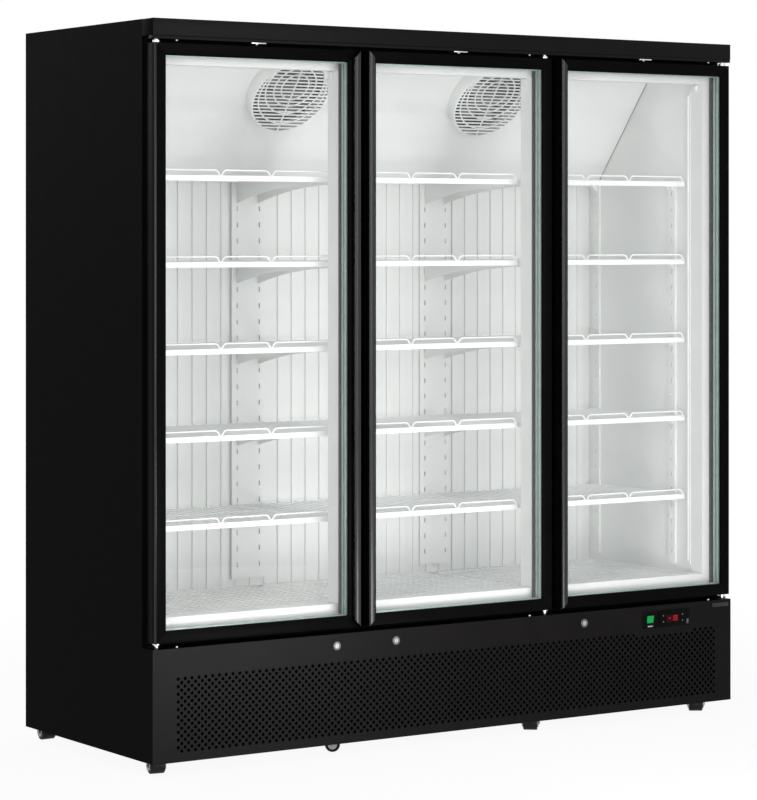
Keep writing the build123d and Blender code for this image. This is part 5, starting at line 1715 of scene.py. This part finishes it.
@dataclass
class Castors:
    """Swivel castors in front and fixed ones behind."""

    tyre: float = 0.021
    tyre_round: float = 0.003
    round_steps: int = 3
    tyre_steps: int = 48
    half_width: float = 0.020
    hub: float = 0.0135
    hub_gap: float = 0.0001
    hub_ease: float = 0.002
    hub_dish: float = 0.003
    hub_steps: int = 32
    boss: float = 0.006
    boss_taper: float = 0.001
    bore: float = 0.0031
    nut: float = 0.0058
    nut_height: float = 0.003
    nut_sides: int = 6
    nut_soft: float = 0.0005
    axle: float = 0.003
    axle_end: float = 0.0012
    axle_soft: float = 0.0004
    fork_half: float = 0.0235

    def build(self) -> None:
        """Build the wheels and axle nuts and dress the forks."""
        CASTOR_ZINC.dress_nodes("castor_mounts", "rear_castor_forks")
        bodies = frame["record"]["behaviour"]["bodies"]
        tread, hub, nuts = self._tread(), self._hub(), self._nuts()
        for joint in frame["joints"]:
            if not joint["name"].endswith("_roll"):
                continue
            place = self._place(joint)
            wheel, fork = joint["child"], joint["parent"]
            Bench.fit(Bench.copy(tread, place), f"{wheel}_tread", TYRE_GREY, wheel, bodies[wheel][0])
            Bench.fit(Bench.copy(hub, place), f"{wheel}_hub", HUB_GREY, wheel)
            Bench.fit(Bench.copy(nuts, place), f"{wheel}_nuts", CASTOR_ZINC, fork)
            if fork != CABINET:
                CASTOR_ZINC.dress_nodes(bodies[fork][0])
        for pattern in (tread, hub, nuts):
            bpy.data.objects.remove(pattern)

    @staticmethod
    def _place(joint: dict) -> Matrix:
        """Place of a wheel from the joint that it rolls on.

        Args:
            joint: Rolling joint of the record.

        Returns:
            Matrix from the wheel's own axes, its axle along Z, to the frame.
        """
        axle = Vector(joint["axis"]).normalized()
        up = Vector((0, 0, 1))
        turn = Matrix((up, axle.cross(up), axle)).transposed().to_4x4()
        return Matrix.Translation(Vector(joint["pos_m"])) @ turn

    def _tread(self) -> Piece:
        """Make the tread, rounded at its edges.

        Returns:
            The tread about the origin, its axle along Z.
        """
        half, soft, ease = self.half_width, self.tyre_round, self.hub_ease
        shoulder, half_turn = self.tyre - soft, 2 * self.round_steps
        profile = [(self.hub, -half + ease), (shoulder, -half)]
        for step in range(1, self.round_steps + 1):
            turn = step * math.pi / half_turn
            profile.append((shoulder + soft * math.sin(turn), -half + soft - soft * math.cos(turn)))
        for step in range(self.round_steps):
            turn = step * math.pi / half_turn
            profile.append((shoulder + soft * math.cos(turn), half - soft + soft * math.sin(turn)))
        profile += [(shoulder, half), (self.hub, half - ease)]
        return Bench.spin(profile, self.tyre_steps)

    def _hub(self) -> Piece:
        """Make the hub with its dished sides.

        Returns:
            The hub about the origin, its axle along Z.
        """
        half, rim, boss = self.half_width, self.hub - self.hub_gap, self.boss
        ease, dish = self.hub_ease, self.hub_dish
        lower = [
            (self.bore, -half),
            (boss, -half),
            (boss + self.boss_taper, -half + dish),
            (rim - ease, -half + dish),
            (rim, -half + ease),
        ]
        upper = [(radius, -height) for radius, height in reversed(lower)]
        return Bench.spin(lower + upper, self.hub_steps)

    def _nuts(self) -> Piece:
        """Make the two axle nuts outside a fork.

        Returns:
            Both nuts about the wheel's origin.
        """
        nuts = []
        for side in (-1.0, 1.0):
            foot, top = side * self.fork_half, side * (self.fork_half + self.nut_height)
            end = top + side * self.axle_end
            nuts.append(Bench.rod((0, 0, foot), (0, 0, top), self.nut, self.nut_sides, self.nut_soft))
            nuts.append(Bench.rod((0, 0, top), (0, 0, end), self.axle, soft=self.axle_soft))
        return Bench.join("nuts", nuts)


@dataclass
class Studio:
    """Floor, light and camera."""

    camera_place: tuple[float, float, float] = (-4.737, -7.059, 1.419)
    camera_look: tuple[float, float, float] = (0.554, 0.8325, 0.0)
    lens: float = 131.9
    shift_y: float = -0.205
    far: float = 100.0
    glass_bounces: int = 32
    floor_size: float = 14.0
    floor_sides: int = 96
    floor_colour: tuple[float, float, float, float] = (0.86, 0.86, 0.86, 1.0)
    floor_roughness: float = 0.8
    floor_specular: float = 0.1
    floor_glow: float = 0.93
    fade: tuple[float, float] = (1.3, 3.4)
    fill: float = 0.5
    lamps: list[tuple[str, Point, Point, tuple[float, float], float]] = field(
        default_factory=lambda: [
            ("front", (0.3, -4.6, 1.9), (0.0, -0.2, 1.2), (2.4, 2.4), 72.0),
            ("key", (-5.2, -3.6, 1.6), (0.0, -0.3, 1.1), (0.9, 2.8), 80.0),
            ("rear", (-1.5, 4.5, 3.2), (0.0, 0.2, 1.0), (2.6, 2.6), 60.0),
            ("low", (-0.05, -2.0, 0.18), (-0.6, -0.35, 0.18), (1.1, 0.3), 17.0),
        ]
    )
    inside_power: float = 0.32
    inside_width: float = 0.54

    def build(self) -> None:
        """Set the stage, the light and the view."""
        bpy.context.scene.view_settings.view_transform = "Standard"
        bpy.context.scene.cycles.transparent_max_bounces = self.glass_bounces
        self.world()
        self.floor()
        for name, place, target, size, power in self.lamps:
            self._lamp(name, place, target, size, power)
        self.inside()
        self.camera()

    def world(self) -> None:
        """Make the white surround, softer as light than as background."""
        world = bpy.data.worlds.new("studio")
        bpy.context.scene.world = world
        world.use_nodes = True
        nodes, links = world.node_tree.nodes, world.node_tree.links
        shown = nodes["Background"]
        shown.inputs["Color"].default_value = (1.0, 1.0, 1.0, 1.0)
        shown.inputs["Strength"].default_value = 1.0
        light = nodes.new("ShaderNodeBackground")
        light.inputs["Color"].default_value = (1.0, 1.0, 1.0, 1.0)
        light.inputs["Strength"].default_value = self.fill
        mix = nodes.new("ShaderNodeMixShader")
        links.new(self._shown(world.node_tree), mix.inputs["Fac"])
        links.new(light.outputs["Background"], mix.inputs[1])
        links.new(shown.outputs["Background"], mix.inputs[2])
        links.new(mix.outputs["Shader"], nodes["World Output"].inputs["Surface"])

    @staticmethod
    def _shown(tree: bpy.types.NodeTree) -> bpy.types.NodeSocket:
        """Find the rays that see the background: straight, mirrored or through glass.

        Args:
            tree: Node tree of the world or the floor.

        Returns:
            Socket that is 1 for those rays.
        """
        path = tree.nodes.new("ShaderNodeLightPath")
        seen = path.outputs["Is Camera Ray"]
        for other in ("Is Glossy Ray", "Is Transmission Ray"):
            either = tree.nodes.new("ShaderNodeMath")
            either.operation = "MAXIMUM"
            tree.links.new(seen, either.inputs[0])
            tree.links.new(path.outputs[other], either.inputs[1])
            seen = either.outputs["Value"]
        return seen

    def floor(self) -> None:
        """Make the pale floor, which fades into the surround away from the freezer."""
        bpy.ops.object.select_all(action="DESELECT")
        bpy.ops.mesh.primitive_circle_add(
            vertices=self.floor_sides, radius=self.floor_size / 2, fill_type="NGON"
        )
        floor = bpy.context.object
        floor.name = "studio_floor"
        material = bpy.data.materials.new("studio_floor")
        material.use_nodes = True
        nodes, links = material.node_tree.nodes, material.node_tree.links
        shader = nodes["Principled BSDF"]
        shader.inputs["Base Color"].default_value = self.floor_colour
        shader.inputs["Roughness"].default_value = self.floor_roughness
        shader.inputs["Specular IOR Level"].default_value = self.floor_specular
        place = nodes.new("ShaderNodeTexCoord")
        length = nodes.new("ShaderNodeVectorMath")
        length.operation = "LENGTH"
        links.new(place.outputs["Object"], length.inputs[0])
        reach = nodes.new("ShaderNodeMapRange")
        reach.interpolation_type = "SMOOTHSTEP"
        reach.inputs["From Min"].default_value, reach.inputs["From Max"].default_value = self.fade
        reach.inputs["To Min"].default_value = self.floor_glow
        links.new(length.outputs["Value"], reach.inputs["Value"])
        share = nodes.new("ShaderNodeMath")
        share.operation = "MULTIPLY"
        links.new(reach.outputs["Result"], share.inputs[0])
        links.new(self._shown(material.node_tree), share.inputs[1])
        white = nodes.new("ShaderNodeEmission")
        mix = nodes.new("ShaderNodeMixShader")
        links.new(share.outputs["Value"], mix.inputs["Fac"])
        links.new(shader.outputs["BSDF"], mix.inputs[1])
        links.new(white.outputs["Emission"], mix.inputs[2])
        links.new(mix.outputs["Shader"], nodes["Material Output"].inputs["Surface"])
        floor.data.materials.append(material)

    @staticmethod
    def _lamp(name: str, place: Point, target: Point, size: tuple[float, float], power: float) -> None:
        """Add an area lamp.

        Args:
            name: Its name.
            place: Where it stands.
            target: What it points at.
            size: Its width and height.
            power: Its power, in watts.
        """
        light = bpy.data.lights.new(name, "AREA")
        light.shape = "RECTANGLE"
        light.size, light.size_y = size
        light.energy = power
        lamp = bpy.data.objects.new(name, light)
        lamp.location = place
        lamp.visible_camera = False
        lamp.rotation_euler = (Vector(target) - Vector(place)).to_track_quat("-Z", "Y").to_euler()
        bpy.context.scene.collection.objects.link(lamp)

    def inside(self) -> None:
        """Add the light that the lamps inside the cabinet give, spread over each bay."""
        lamp_low, lamp_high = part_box("led_lamps")
        size = (self.inside_width, lamp_high.z - lamp_low.z)
        for side in Side:
            low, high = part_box(f"shelves_{side.value}")
            place = Vector(((low.x + high.x) / 2, lamp_high.y, (lamp_low.z + lamp_high.z) / 2))
            self._lamp(f"inside_{side.value}", place, place + Vector((0, 1, 0)), size, self.inside_power)

    def camera(self) -> None:
        """Add the camera at the view of the photograph."""
        data = bpy.data.cameras.new("photo_view")
        data.lens = self.lens
        data.shift_y = self.shift_y
        data.clip_end = self.far
        camera = bpy.data.objects.new("photo_view", data)
        camera.location = self.camera_place
        camera.rotation_euler = Vector(self.camera_look).to_track_quat("-Z", "Y").to_euler()
        bpy.context.scene.collection.objects.link(camera)
        bpy.context.scene.camera = camera


def main() -> None:
    """Build every sub-assembly, then the studio."""
    logging.basicConfig(level=logging.INFO, format="%(message)s")
    bpy.ops.object.select_all(action="DESELECT")
    Shell().build()
    for side in Side:
        Door(side).build()
        ShelfBay(side).build()
    for assembly in (HingeWork, ColdWorks, WarmWorks, Controls, Castors, Studio):
        assembly().build()


if __name__ == "__main__":
    main()
